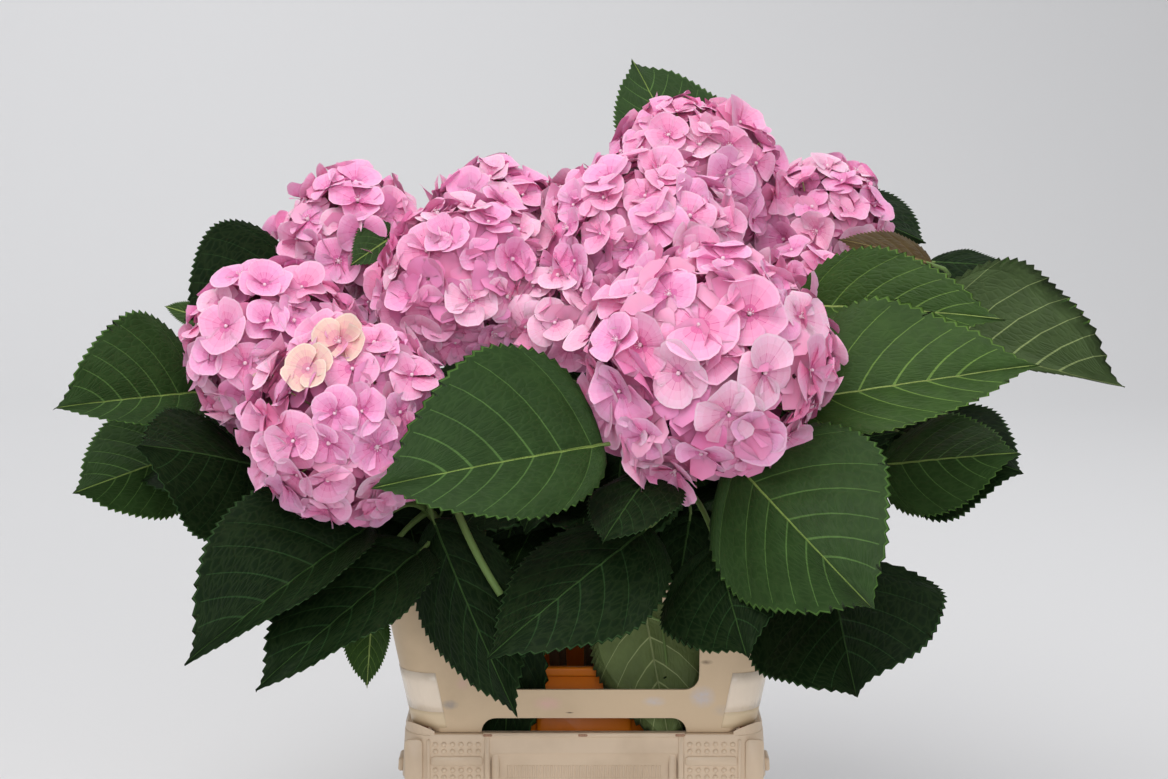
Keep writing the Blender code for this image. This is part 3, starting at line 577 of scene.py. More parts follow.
def head_spots(name, middle, radius, depth, count, rng):
    """Where florets sit on a head's ball, and the way they face, with none beyond the heads it presses on."""
    own = np.array(HEADS[name][0], float)
    axis = unit(head_axis(own) + HEAD_TILTS.get(name, (0, 0, 0)))
    order = np.arange(count)
    height = 1 - (1 - FLORET_FLOOR) * (order + 0.5) / count
    turn = order * np.pi * (3 - math.sqrt(5)) + rng.uniform(0, 2 * np.pi)
    ring = np.sqrt(1 - height**2)
    first, second = across(axis[None], np.zeros(1))
    out = (ring * np.cos(turn))[:, None] * first + (ring * np.sin(turn))[:, None] * second
    out = unit(out + height[:, None] * axis + rng.normal(0, FACING_SPREAD, (count, 3)))
    low = np.minimum(out @ axis, 0)[:, None]
    shape = out - axis * low * UNDERSIDE_TUCK
    start = Vector(middle) * LUMP_START
    uneven = np.array([noise.noise(Vector(o) * LUMP_SCALE + start) for o in shape])
    reach = (radius - depth) * (1 + LUMP_HEIGHT * uneven) + rng.normal(0, DEPTH_SPREAD, count)
    spots = middle + shape * reach[:, None]
    keep = np.linalg.norm(spots - own, axis=1) > (HEADS[name][1] - LOBE_SUNK) * np.any(middle != own)
    for other, (place, size) in HEADS.items():
        apart = np.array(place, float) - middle
        gap = np.linalg.norm(apart)
        if other == name or gap > radius + size + PRESS_NEAR:
            continue
        share = (gap**2 + radius**2 - size**2) / (2 * gap)
        past = (spots - middle) @ (apart / gap) - share
        keep &= past < PRESS_PAST
        spots = spots - apart / gap * np.maximum(past + PRESS_BACK, 0)[:, None]
    return spots[keep], out[keep]


def florets(skin, spots, facing, size, tones, rng):
    """Four-sepalled florets, each with its bead, and some with open stamens."""
    count = len(spots)
    out = unit(facing + rng.normal(0, FLORET_LEAN, (count, 3)))
    first, second = across(out, rng.uniform(0, 2 * np.pi, count))
    reach = size * rng.normal(1, FLORET_SPREAD, count)
    cup = rng.normal(*FLORET_CUP, count)
    four = np.repeat(np.arange(count), 4)
    which = np.tile(np.arange(4), count)
    upper = which % 2
    turn = which * np.pi / 2 + rng.normal(0, SEPAL_TURN, 4 * count)
    pitch = cup[four] + UPPER_PITCH * upper + rng.normal(0, SEPAL_PITCH, 4 * count)
    lengths = reach[four] * rng.normal(1, SEPAL_SPREAD, 4 * count)
    grids = sepal_grids(lengths, FINE_ROWS, FINE_COLUMNS, rng)
    lift = UPPER_LIFT * upper
    grids = laid(grids, spots[four], first[four], second[four], out[four], turn, pitch, lift)
    faces = np.array(ROW_TONES)[:, None] + np.zeros((1, len(FINE_COLUMNS) - 1), int)
    faces[:-1, VEIN_COLUMNS] = np.maximum(faces[:-1, VEIN_COLUMNS] - 1, 0)
    faces[:2, VEIN_COLUMNS] = TONES
    faces = faces[None] + (tones[four] * (TONES + 1))[:, None, None]
    petals = np.stack(np.meshgrid(FINE_COLUMNS, FINE_ROWS), axis=-1)[None]
    petals = petals + rng.uniform(*PETAL_STARTS, (4 * count, 1, 1, 1))
    skin.add(grids, faces, petals=petals)
    beads = spots + out * (reach * BEAD_HEIGHT)[:, None]
    skin.add(balls(beads, out, rng.uniform(*BEAD_RADII, count)), BEAD, around=True)
    opened = rng.uniform(size=count) < OPEN_SHARE
    foot = beads[opened]
    for step in range(STAMENS):
        lean = step * 2 * np.pi / STAMENS
        aside = (first * np.cos(lean) + second * np.sin(lean))[opened]
        tip = foot + out[opened] * STAMEN_RISE + aside * STAMEN_REACH
        stem = np.stack((foot, (foot + tip) / 2 + aside * STAMEN_BOW, tip), axis=1)
        skin.add(tubes(stem, np.full((1, 3), STAMEN_RADIUS), 3), STAMEN, around=True)
        anthers = balls(tip, out[opened], np.full(len(foot), ANTHER_RADIUS), sides=4, rings=2)
        skin.add(anthers, STAMEN, around=True)


def plain_florets(skin, spots, facing, size, finishes, rng):
    """Plainer florets under the outer ones, which fill the head."""
    count = len(spots)
    out = unit(facing + rng.normal(0, PLAIN_LEAN, (count, 3)))
    first, second = across(out, rng.uniform(0, 2 * np.pi, count))
    four = np.repeat(np.arange(count), 4)
    which = np.tile(np.arange(4), count)
    grids = sepal_grids(np.full(4 * count, size), PLAIN_ROWS, PLAIN_COLUMNS, rng)
    pitch = PLAIN_CUP + rng.normal(0, SEPAL_PITCH, 4 * count)
    lift = PLAIN_LIFT * (which % 2)
    turn = which * np.pi / 2
    grids = laid(grids, spots[four], first[four], second[four], out[four], turn, pitch, lift)
    skin.add(grids, finishes[four][:, None, None])


def flower_head(name, seed, twigs):
    """A mophead: florets over the balls that it fills, with a stalk to each in the outer layers."""
    rng = np.random.default_rng(seed)
    middle, radius = np.array(HEADS[name][0], float), HEADS[name][1]
    size = LARGE_FLORETS.get(name, FLORET_SIZE)
    axis = head_axis(middle)
    hub = middle - axis * radius * HEAD_UNDERSIDE
    fork = hub + axis * radius * FORK_RISE
    creams = np.array(CREAM_FLORETS.get(name, ()), float).reshape(-1, 3)
    skin = Skin()
    for centre, reach in ((middle, radius), *LOBES.get(name, ())):
        for layer, (depth, cover) in enumerate(LAYERS):
            if depth > reach * DEEPEST:
                continue
            count = round(cover * 2 * (1 - FLORET_FLOOR) * ((reach - depth) / size) ** 2)
            spots, facing = head_spots(name, centre, reach, depth, count, rng)
            if layer == 0:
                for cream in creams:
                    clear = np.linalg.norm(spots - cream, axis=1) > CREAM_CLEARANCE
                    spots, facing = spots[clear], facing[clear]
                tones = rng.choice(3, len(spots), p=FLORET_TONES)
                tones = np.concatenate((tones, np.full(len(creams), CREAM)))
                ways = unit(creams - centre)
                spots = np.concatenate((spots, centre + ways * (reach - depth + CREAM_PROUD)))
                facing = np.concatenate((facing, ways))
                florets(skin, spots, facing, size, tones, rng)
                creams = creams[:0]
            elif layer == 1:
                tones = rng.choice(3, len(spots)) * (TONES + 1) + 1
                plain_florets(skin, spots, facing, size, tones, rng)
            else:
                shaded = np.full(len(spots), SHADED)
                plain_florets(skin, spots, facing, size * SHADED_SIZE, shaded, rng)
            if layer < STALKED:
                ends = spots - facing * STALK_SINK
                starts, forks = (np.broadcast_to(each, ends.shape) for each in (hub, fork))
                pulls = ends - facing * radius * STALK_PULL
                steps = np.linspace(0, 1, len(STALK_RADII))
                stalks = curve_through(starts, forks, pulls, ends, steps)
                twigs.add(tubes(stalks, STALK_RADII[None], STALK_SIDES), FLOWER_STALK, around=True)
    skin.piece("blooms_" + name, sepal_finishes, "sepals", ("head_" + name,))


# ---------------------------------------------------------------- plant: leaves

TEETH = 25
VEINS = 6
VEIN_SWEEP = 2.6  # how much closer the side veins' roots lie near the foot than near the tip
VEIN_ARCH = 0.58  # share of a side vein's climb that is straight; the rest bends in near the margin
VEIN_ROOTS = (0.035, 0.68)  # where the first and last side veins leave the midrib
TOP_COLUMNS = (0.0, 0.12, 0.27, 0.42, 0.57, 0.72, 0.86, 0.95, 0.985, 1.0)
UNDER_COLUMNS = (0.88, 0.6, 0.3, 0.1, 0.0)
SPARE_TOP = (0.0, 0.16, 0.5, 0.85, 0.965, 1.0)
SPARE_UNDER = (0.7, 0.12, 0.0)
FAINT_FROM = 0.96  # how far out from the midrib the side veins show
WIDEST = 0.4
TIP_CURVE, TIP_POWER = 1.6, 1.12
DRAWN_BY, DRAWN_FROM, DRAWN_OVER = 0.42, 0.8, 0.14  # how the tip is drawn in to a point
TOOTH_DEPTH = 3.0
TOOTH_FROM, TOOTH_CURVE = 0.9, 1.2  # how far out the teeth start, and how they set in
TOOTH_LEAN = 0.75  # how far a tooth points forward, against how far it stands out
TOOTH_ENDS = (9, 7)  # how fast teeth grow from the foot and from the tip
TOOTH_LENGTH = 170  # the blade's length at which teeth have their full depth
SLOPE_LIMITS = (-2.0, 2.5)
VEIN_HALF = 0.0042  # half width of a side vein, as a share of the blade's length
VEIN_TAPER = 0.72
MIDRIB_HALF, MIDRIB_TAPER = 1.5, 0.75
QUILT, QUILT_CROWN = 0.05, 0.8  # height of the blade between side veins, and how full it is
QUILT_OUT, QUILT_SOFT = 0.8, 0.7
DROOP_ENDS = (0.03, 0.97)
RIPPLES = 2.2
UNDER_DEPTH = (0.35, 0.35)  # thickness of a blade at its margin, and how much more it is at its midrib
UNDER_VEIN_DEPTH, UNDER_VEIN_TAPER = 0.5, 0.8
UNDER_MIDRIB_DEPTH, UNDER_MIDRIB_TAPER = 1.0, 0.6
MIDRIB_RISE, VEIN_SINK = 0.25, 0.15
# How a blade bends, as lowest and highest: bow along it, droop and ripple of each side, against its size
BLADE_BOW, BLADE_DROOP, BLADE_RIPPLE = (0.005, 0.03), (0.03, 0.14), (0.015, 0.05)
NET_STARTS = (0, 400)  # where each side of a blade starts in the pattern of fine veins


def outline(share):
    """A blade's half width, against its greatest, from foot (0) to tip (1)."""
    share = np.clip(share, 0, 1)
    foot = np.sqrt(np.clip(1 - (1 - share / WIDEST) ** 2, 0, 1))
    tip = (1 - np.clip((share - WIDEST) / (1 - WIDEST), 0, 1) ** TIP_CURVE) ** TIP_POWER
    drawn = 1 - DRAWN_BY * np.clip((share - DRAWN_FROM) / DRAWN_OVER, 0, 1)
    return np.where(share < WIDEST, foot, tip * drawn)


def leaf_rows(teeth, veins):
    """Rows across a blade from foot to tip: place, edge of a vein, and tooth. Then where the veins are."""
    places, edges, tips = [], [], []
    steps = 2 * teeth
    roots = np.linspace(*VEIN_ROOTS, veins)
    vein_steps = [round(steps * root ** (1 / VEIN_SWEEP)) for root in roots]
    for step in range(steps + 1):
        for edge in (-1, 1) if step in vein_steps else (0,):
            places.append(step / steps)
            edges.append(edge)
            tips.append(step % 2)
    marks = [step / steps for step in vein_steps]
    return [np.array(each) for each in (places, edges, tips, marks)]


def half_blade(length, half, columns, rows, bend, under):
    """One side of a blade as (rows, columns): out, along and up, and where it lies when flat."""
    places, edges, tips, marks = rows
    v = np.array(columns)[None, :]
    w = np.clip(places[:, None] + edges[:, None] * VEIN_HALF * (1 - VEIN_TAPER * v), 0, 1)
    root = w**VEIN_SWEEP
    margin = outline(w) * half
    # The column next to the middle is the midrib's edge, at the midrib's own width
    rib = np.minimum(MIDRIB_HALF * (1 - MIDRIB_TAPER * w), margin)
    first = min(column for column in columns if column > 0)
    x = rib + (margin - rib) * np.clip((v - first) / (1 - first), 0, 1)
    x = np.where(v == 0, 0, x)
    y = length * (root + (w - root) * (VEIN_ARCH * v + (1 - VEIN_ARCH) * v**3))
    # Teeth: every other row is drawn out and forward at the margin
    near = 0.01
    slope = (outline(places + near) - outline(places - near)) * half / (2 * near * length)
    slope = np.clip(slope, *SLOPE_LIMITS)[:, None]
    norm = np.sqrt(1 + slope**2)
    fade = np.clip((v - TOOTH_FROM) / 0.1, 0, 1) ** TOOTH_CURVE
    ends = np.clip(np.minimum(w * TOOTH_ENDS[0], (1 - w) * TOOTH_ENDS[1]), 0, 1)
    size = TOOTH_DEPTH * tips[:, None] * ends * (length / TOOTH_LENGTH) ** 0.5
    x = x + fade * size * (1 / norm + TOOTH_LEAN * slope / norm)
    y = y + fade * size * (-slope / norm + TOOTH_LEAN / norm)
    # Quilting between the side veins, and the bends of the whole side
    bounds = np.concatenate(((0.0,), marks, (1.0,)))
    index = np.clip(np.searchsorted(bounds, places, side="right") - 1, 0, len(bounds) - 2)
    low, high = bounds[index], bounds[index + 1]
    part = ((places - low) / np.maximum(high - low, 1e-6))[:, None]
    part = np.where(edges[:, None] != 0, 0, part)
    puff = np.sin(np.pi * np.clip(part, 0, 1)) ** QUILT_CROWN * (high - low)[:, None] * length * QUILT
    puff = puff * np.sin(np.pi * np.clip(v, 0, 1) ** QUILT_OUT) ** QUILT_SOFT
    bow, droop, ripple, phase = bend
    z = puff + bow * length * np.sin(np.pi * y / length)
    z = z - droop * half * v**2 * np.sin(np.pi * np.clip(w, *DROOP_ENDS)) ** 0.5
    z = z + ripple * np.sin(2 * np.pi * (RIPPLES * w + phase)) * v**2 * half
    if under:
        thick = UNDER_DEPTH[0] + UNDER_DEPTH[1] * (1 - v)
        z = z - thick - UNDER_VEIN_DEPTH * (edges[:, None] != 0) * (1 - UNDER_VEIN_TAPER * v)
        z = np.where(v == 0, z - UNDER_MIDRIB_DEPTH * (1 - UNDER_MIDRIB_TAPER * w), z)
    else:
        z = np.where(v == 0, z + MIDRIB_RISE, z - VEIN_SINK * (1 - v) * (edges[:, None] != 0))
    return np.stack(np.broadcast_arrays(x, y, z, v * half, w * length), axis=-1)


def leaf(skin, row, kind, rng, teeth=TEETH, top=TOP_COLUMNS, under=UNDER_COLUMNS):
    """A toothed, quilted blade, closed all round, with its pale midrib, side veins and rim."""
    foot, azimuth, pitch, roll, length, left, right, fold = row
    along, towards, face = blade_axes(azimuth, pitch, roll)
    rows = leaf_rows(teeth, VEINS)
    bow = rng.uniform(*BLADE_BOW)
    tilt = math.radians(fold)
    sides, flats = [], []
    for half, sign in ((left, -1), (right, 1)):
        bend = (bow, rng.uniform(*BLADE_DROOP), rng.uniform(*BLADE_RIPPLE), rng.uniform())
        for columns, below in ((top, False), (under, True)):
            flat = half_blade(length, half, columns, rows, bend, below)
            out = flat[..., 0:1] * math.cos(tilt)
            up = flat[..., 2:3] + flat[..., 0:1] * math.sin(tilt)
            sides.append(np.array(foot, float) + along * flat[..., 1:2] + towards * sign * out + face * up)
            flats.append(flat[..., 3:] * (sign, 1) + rng.uniform(*NET_STARTS, 2))
    grid, petals = (
        np.concatenate((one[:, ::-1], three[:, 1:], four, two[:, ::-1][:, 1:]), axis=1)
        for one, two, three, four in (sides, flats)
    )
    n, m = len(top) - 1, len(under)
    pair = (rows[1][:-1] == -1) & (rows[1][1:] == 1)
    strong = [v < FAINT_FROM for v in top[1:]]
    shown = np.array(strong[::-1] + strong)
    faces = np.full((len(rows[0]) - 1, grid.shape[1]), TOP)
    faces[:, : 2 * n] = np.where(pair[:, None] & shown[None], SIDE_VEIN, TOP)
    faces[:, (n - 1, n)] = MIDRIB
    faces[:, (0, 2 * n - 1)] = RIM
    faces[:, 2 * n :] = np.where(pair[:, None], UNDER_VEIN, UNDER)
    faces[:, (2 * n + m - 1, 2 * n + m)] = UNDER_VEIN
    skin.add(grid[None], faces[None] + kind * len(LEAF_PLACES), around=True, petals=petals[None])


# ---------------------------------------------------------------- plant: growth

SPARE_PLACES = (0.56, 0.62, 0.68, 0.74, 0.8, 0.86)
SPARE_TRIES = 6
SPARE_LENGTHS = (85, 150)
SPARE_STALKS = (25, 45)
SPARE_HALVES = (0.33, 0.4)  # half width, against length
SPARE_PITCHES = (-45, 25)
SPARE_TURN, SPARE_ROLL = 22, 25
SPARE_FOLDS = (-15, 12)
# Leaves set by the rules keep their tested places out of the tub: below this height, within these reaches
TUB_TOP = 352
TUB_REACH = (190, 245)
HEAD_CLEARANCE = 4
MASS_SLACK, HUNG_SLACK = 14, 60  # how far spare and hung leaves may reach past the masses of leaves
PROBES, WIDE_PROBE = (0.0, 0.3, 0.6, 0.85, 1.0), 0.4  # where along a blade it is tested
# Rings of leaves round the canes: how many, height, reaches of their feet, pitches and lengths
HUNG = (
    (13, 408, (85, 125), (-28, -6), (110, 140)),
    (12, 456, (105, 150), (-40, -16), (115, 150)),
    (17, 448, (118, 165), (-84, -64), (84, 97)),
)
HUNG_SEED = 7
HUNG_HALVES = (0.36, 0.43)
HUNG_TURN, HUNG_LIFT, HUNG_JITTER = 12, 10, 0.4
HUNG_FOLDS = (-15, 5)
HUNG_SHARE = 0.6
LEAF_STALK_RADIUS, THIN_STALK = 2.3, 1.4
STALK_TAPER = np.array((1.5, 1.25, 1.1, 1, 1, 1, 1, 1, 1, 0.95, 0.85, 0.6))
LEAF_STALK_SIDES = 7
STALK_LIFT, STALK_LEAVE, STALK_ARRIVE = 0.5, 0.4, 0.45  # how a stalk rises from its cane, and its pulls
STALK_OVERLAP = 6
# Kinds of green that far, spare and hung leaves take, as shares of fresh, deep and dark, the dark being
# painted shade
FAR_GREENS, SPARE_GREENS = (0.3, 0.4, 0.3), (0.05, 0.25, 0.7)
FAR_TEETH, SPARE_TEETH, TUCKED_TEETH = 24, 17, 12
LONG_STALK = ((-112, -205, 432), (-100, -244, 408), (-86, -262, 382), (-66, -268, 352))
LONG_STALK_CANE = "middle_left"
LONG_STALK_RADII = np.full((1, 16), 3.1)
CANE_STEPS = 60
CANE_TONES = (0.34, 0.55)  # where a cane turns from its foot's brown, and to green
NODE_SWELL, NODE_LENGTH = 0.9, 0.008
RIDGES, RIDGE_HEIGHT = 6, 0.035
CAP_FIT = 0.98
LEAF_SEED, FLOWER_SEED = 100, 200


def leaf_stalk(twigs, route, row, radius=LEAF_STALK_RADIUS):
    """The stalk of a blade, from the nearest node of its cane."""
    foot = np.array(row[0], float)
    starts = [on_cane(route, place) for place in STALK_PLACES]
    start = min(starts, key=lambda place: np.linalg.norm(place - foot))
    along = blade_axes(*row[1:4])[0]
    reach = np.linalg.norm(foot - start)
    pull = unit(unit(foot - start) + (0, 0, STALK_LIFT))
    leave, arrive = start + pull * reach * STALK_LEAVE, foot - along * reach * STALK_ARRIVE
    steps = np.linspace(0, 1, len(STALK_TAPER))
    path = curve_through(start, leave, arrive, foot + along * STALK_OVERLAP, steps)
    thick = radius * STALK_TAPER
    twigs.add(tubes(path, thick[None], LEAF_STALK_SIDES), LEAF_STALK, around=True)


masses = []
for name in HEADS:
    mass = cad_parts["leaves_" + name].data
    corners = [corner.co for corner in mass.vertices]
    masses.append(BVHTree.FromPolygons(corners, [tuple(face.vertices) for face in mass.polygons]))


def outside(point):
    """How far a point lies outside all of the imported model's masses of leaves, in millimetres."""
    best = math.inf
    for tree in masses:
        place, normal, _, gap = tree.find_nearest(Vector(point) * MM)
        if (Vector(point) * MM - place).dot(normal) < 0:
            return 0.0
        best = min(best, gap / MM)
    return best


def fits(row, slack=MASS_SLACK):
    """Whether a blade's tested places stay in the masses, out of the heads and out of the tub."""
    foot, azimuth, pitch, roll, length, left, right = row[:7]
    along, towards, _ = blade_axes(azimuth, pitch, roll)
    places = [foot + along * length * share for share in PROBES]
    places += [foot + along * length * WIDE_PROBE + towards * side for side in (-left, right)]
    for place in places:
        if place[2] < TUB_TOP and abs(place[0]) < TUB_REACH[0] and abs(place[1]) < TUB_REACH[1]:
            return False
        for middle, radius in HEADS.values():
            if np.linalg.norm(place - np.array(middle, float)) < radius + HEAD_CLEARANCE:
                return False
        if outside(place) > slack:
            return False
    return True


def spare_blades(route, rng):
    """Opposite pairs of leaves up a cane, each pair square to the last, where they fit."""
    rows = []
    turn = rng.uniform(0, 360)
    for share in SPARE_PLACES:
        turn += 90
        for side in (0, 180):
            for _ in range(SPARE_TRIES):
                azimuth = turn + side + rng.normal(0, SPARE_TURN)
                angles = (azimuth, rng.uniform(*SPARE_PITCHES), rng.normal(0, SPARE_ROLL))
                length = rng.uniform(*SPARE_LENGTHS)
                foot = on_cane(route, share) + blade_axes(*angles)[0] * rng.uniform(*SPARE_STALKS)
                half = length * rng.uniform(*SPARE_HALVES)
                row = (foot, *angles, length, half, half, rng.uniform(*SPARE_FOLDS))
                if fits(row):
                    rows.append(row)
                    break
    return rows


def hung_blades():
    """Leaves that hang out over the tub's rim all round, by the cane each grows on."""
    rng = np.random.default_rng(HUNG_SEED)
    rows = {name: [] for name in HEADS}
    starts = {name: on_cane(cane_route(*head), HUNG_SHARE) for name, head in HEADS.items()}
    for many, height, (reach_x, reach_y), pitches, lengths in HUNG:
        for step in range(many):
            for _ in range(SPARE_TRIES):
                azimuth = 360 * (step + rng.uniform(-HUNG_JITTER, HUNG_JITTER)) / many
                turn = math.radians(azimuth)
                lift = height + rng.uniform(-HUNG_LIFT, HUNG_LIFT)
                foot = np.array((math.sin(turn) * reach_x, -math.cos(turn) * reach_y, lift))
                length = rng.uniform(*lengths)
                half = length * rng.uniform(*HUNG_HALVES)
                azimuth = azimuth + rng.normal(0, HUNG_TURN)
                angles = (azimuth, rng.uniform(*pitches), rng.normal(0, HUNG_TURN))
                row = (foot, *angles, length, half, half, rng.uniform(*HUNG_FOLDS))
                if fits(row, HUNG_SLACK):
                    gaps = {name: np.linalg.norm(place - foot) for name, place in starts.items()}
                    rows[min(gaps, key=gaps.get)].append(row)
                    break
    return rows


def leaves(name, seed, twigs):
    """All the leaves of one cane, and their stalks."""
    rng = np.random.default_rng(seed)
    route = cane_route(*HEADS[name])
    skin = Skin()
    for *row, kind in BLADES.get(name, ()):
        leaf(skin, row, kind, rng)
        leaf_stalk(twigs, route, row)
    for row in far_blades(route) if name in FAR_CANES else ():
        leaf(skin, row, rng.choice(3, p=FAR_GREENS), rng, FAR_TEETH)
        leaf_stalk(twigs, route, row)
    for row in spare_blades(route, rng) + hung[name]:
        leaf(skin, row, rng.choice(3, p=SPARE_GREENS), rng, SPARE_TEETH, SPARE_TOP, SPARE_UNDER)
        leaf_stalk(twigs, route, row)
    for *row, kind in TUCKED.get(name, ()):
        leaf(skin, row, kind, rng, TUCKED_TEETH, SPARE_TOP, SPARE_UNDER)
        leaf_stalk(twigs, route, row, THIN_STALK)
    skin.piece("leafage_" + name, leaf_finishes, "foliage", ("leaves_" + name,))


def cane(name):
    """A ridged cane, swollen at its nodes, brown at the foot and green above."""
    share = np.linspace(0, 1, CANE_STEPS)
    path = curve_through(*cane_route(*HEADS[name]), share)
    thick = np.interp(share, (0, 1), CANE_RADII)
    for place in STALK_PLACES:
        thick = thick + NODE_SWELL * np.exp(-(((share - place) / NODE_LENGTH) ** 2))
    ridges = 1 + RIDGE_HEIGHT * np.cos(np.arange(CANE_SIDES) / CANE_SIDES * 2 * np.pi * RIDGES)
    skin = Skin()
    tone = np.searchsorted(CANE_TONES, share[:-1])[None, :, None]
    skin.add(tubes(path, (thick[:, None] * ridges)[None], CANE_SIDES), tone, around=True)
    ends = path[0, (0, -1)]
    ways = unit(np.stack((path[0, 0] - path[0, 1], path[0, -1] - path[0, -2])))
    caps = balls(ends, ways, np.array(CANE_RADII) * CAP_FIT, CANE_SIDES, 4)
    caps[:, :, :, 2] = np.maximum(caps[:, :, :, 2], ends[0, 2])
    skin.add(caps, 1, around=True)
    skin.piece("stem_" + name, cane_finishes, "cane", ("cane_" + name,))


sepal_finishes = []
for tone, shades in SEPAL_TONES.items():
    for place, shade in zip(SEPAL_PLACES, shades):
        sepal_finishes.append(sepal_finish(f"{tone}_{place}", shade))
    sepal_finishes.append(sepal_finish(tone + "_vein", SEPAL_VEINS[tone]))
for place, shade in HEART_COLOURS:
    sepal_finishes.append(sepal_finish(place, shade))

leaf_finishes = []
for kind, shades in LEAF_TONES.items():
    for place, shade in zip(LEAF_PLACES, shades):
        leaf_finishes.append(leaf_finish(f"{kind}_{place}", shade, LEAF_SHEENS[kind]))

cane_finishes = [cane_finish(*each) for each in CANE_COLOURS]
stalk_finishes = [cane_finish(*each) for each in STALK_COLOURS]

hung = hung_blades()
for seed, name in enumerate(HEADS):
    stalks = Skin()
    cane(name)
    leaves(name, LEAF_SEED + seed, stalks)
    flower_head(name, FLOWER_SEED + seed, stalks)
    if name == LONG_STALK_CANE:
        steps = np.linspace(0, 1, LONG_STALK_RADII.size)
        path = curve_through(*(np.array(point, float) for point in LONG_STALK), steps)
        stalks.add(tubes(path, LONG_STALK_RADII, 9), LEAF_STALK, around=True)
    stalks.piece("stalks_" + name, stalk_finishes, "cane")

# ---------------------------------------------------------------- tub

CORNERS = ((-1, -1), (-1, 1), (1, -1), (1, 1))

# Crate: half sizes, corner radius and height of its rings, up the outside and down the inside
CRATE_PROFILE = (
    (141.0, 191.0, 26, 0),
    (142.2, 192.2, 26, 1.4),
    (142.4, 192.4, 26, 9),
    (141.4, 191.4, 26, 10.6),
    (147.0, 197.0, 26, 176),
    (151.6, 201.6, 26, 176.4),
    (152.5, 202.5, 26, 177.6),
    (150.2, 200.2, 26, 216.6),
    (149.0, 199.0, 26, 218),
    (138.6, 188.6, 18, 218),
    (138.0, 188.0, 18, 217.2),
    (138.0, 188.0, 18, 213.4),
    (143.5, 193.5, 22, 208),
    (137.5, 187.5, 22, 4),
)
CRATE_TOP = 218
# Where faces stand: distance from the middle and height, at their foot and at their top
SKIRT = ((202.5, 177.0), (200.1, 218.0))
LONG_SKIRT = ((152.4, 177.0), (150.1, 218.0))
RIB_BED = ((196.6, 177.0), (196.6, 218.0))
LEDGE_BED = ((198.5, 177.0), (198.5, 218.0))
BODY_WALLS = ((191.3, 10.0), (197.0, 176.0))
LONG_BODY_WALLS = ((141.3, 10.0), (147.0, 176.0))
RECESS = (83, 202, 191, 174, 4.5)  # half width, top, ledge, foot, depth
RECESS_FACES = (200, 201, 212)  # of the wall at the recess's top and lower down, and of the cutter outside
HAND_HOLE = ((-48, 48), (140, 166), 12)
HAND_HOLE_REACH = (130, 160)
CRATE_EDGE, COLLAR_EDGE, BUCKET_EDGE = 0.7, 0.9, 0.4
SHARP_FROM = 40  # degrees between faces whose edge is rounded
PLATE_ROOT, PLATE_CORNER = 1.0, 0.2  # how deep plates are rooted, and the least radius of their tops
STUD_PITCH = 7.1
STUD_RADIUS = 2.3
STUD_HEIGHT = 1.7
STUD_DOME = (-1.0, 0.0, 0.45, 0.8, 1.0)
STUD_SIDES = 16
STUD_TIP = 0.02
STUD_ROWS = (209.5, 203.7, 188, 182)
STUDS_ACROSS = 6
STUD_LEAN = 0.061  # how far a stud's bed leans in for each millimetre up
LABEL_MIDDLE = 105.5
LABEL_HALF = 21.5
LABEL_HEIGHTS = (191.8, 199.8)
# Steps on the skirt: span along the side, heights, rise
SKIRT_STEPS = (
    ((127.5, 130.5), (177.5, 214), 1.0),
    ((134, 149), (177.5, 214), 0.6),
    ((78.2, 82.8), (176, 216.5), 1.2),
)
RECESS_CHEEK = ((70.5, 77), (176, 202.5), 1.0)
LABEL_RISE = 1.4
RIM_LIP = ((-84, 84), (215.8, 219.6), 1.5)
RECESS_RIBS, RECESS_RIB_PITCH, RECESS_RIB_HALF = 43, 3, 0.8
RECESS_RIB_HEIGHTS, RECESS_RIB_RISE = (176.5, 190.5), 0.5
RIB_HALF, RIB_RISE, RIB_HEIGHTS = 1.6, 2.2, (11, 175.5)
SHORT_RIBS, SHORT_RIB_PITCH = range(-3, 4), 36
LONG_RIBS, LONG_RIB_PITCH = range(-5, 6), 31
HOLE_RIB_HEIGHTS, HOLE_RIBS_WITHIN = ((11, 132), (172, 175.5)), 60  # of the ribs that the hand hole breaks
BODY_BELT, BELT_RISE = (88, 92), 1.7
SHORT_BELT, LONG_BELT = (-118, 118), (-165, 165)
LONG_BAND = ((-150, 150), (205, 216), 1.0)
LUG = (13, 178.5, 190, 4.2)  # half length, foot, top, reach
LUG_END = 200 - 26  # where a lug ends: the crate's half length less its corner
LONG_STEPS, LONG_STEP_WIDTH, LONG_STEP_HEIGHTS, LONG_STEP_RISE = (60, 96), 3, (178, 203), 1.1
RUST_SPANS = ((-83.5, -76), (-5, 3), (75.5, 83.5))
RUST_HEIGHTS, RUST_RISE = (216.6, 218.9), 1.75
GUSSET_WALL = 5.5
GUSSET_RADIUS = 25.5
GUSSET_MIDDLE = (124, 174)
GUSSET_STEPS = 8
GUSSET_ROOT = 3
GUSSET_LIFTS = (1, 20)  # least and greatest rise over the crate's rim
GUSSET_SLOPE, GUSSET_DROP = 0.55, 3  # its top's slope against the collar's cut, and how far it lies below

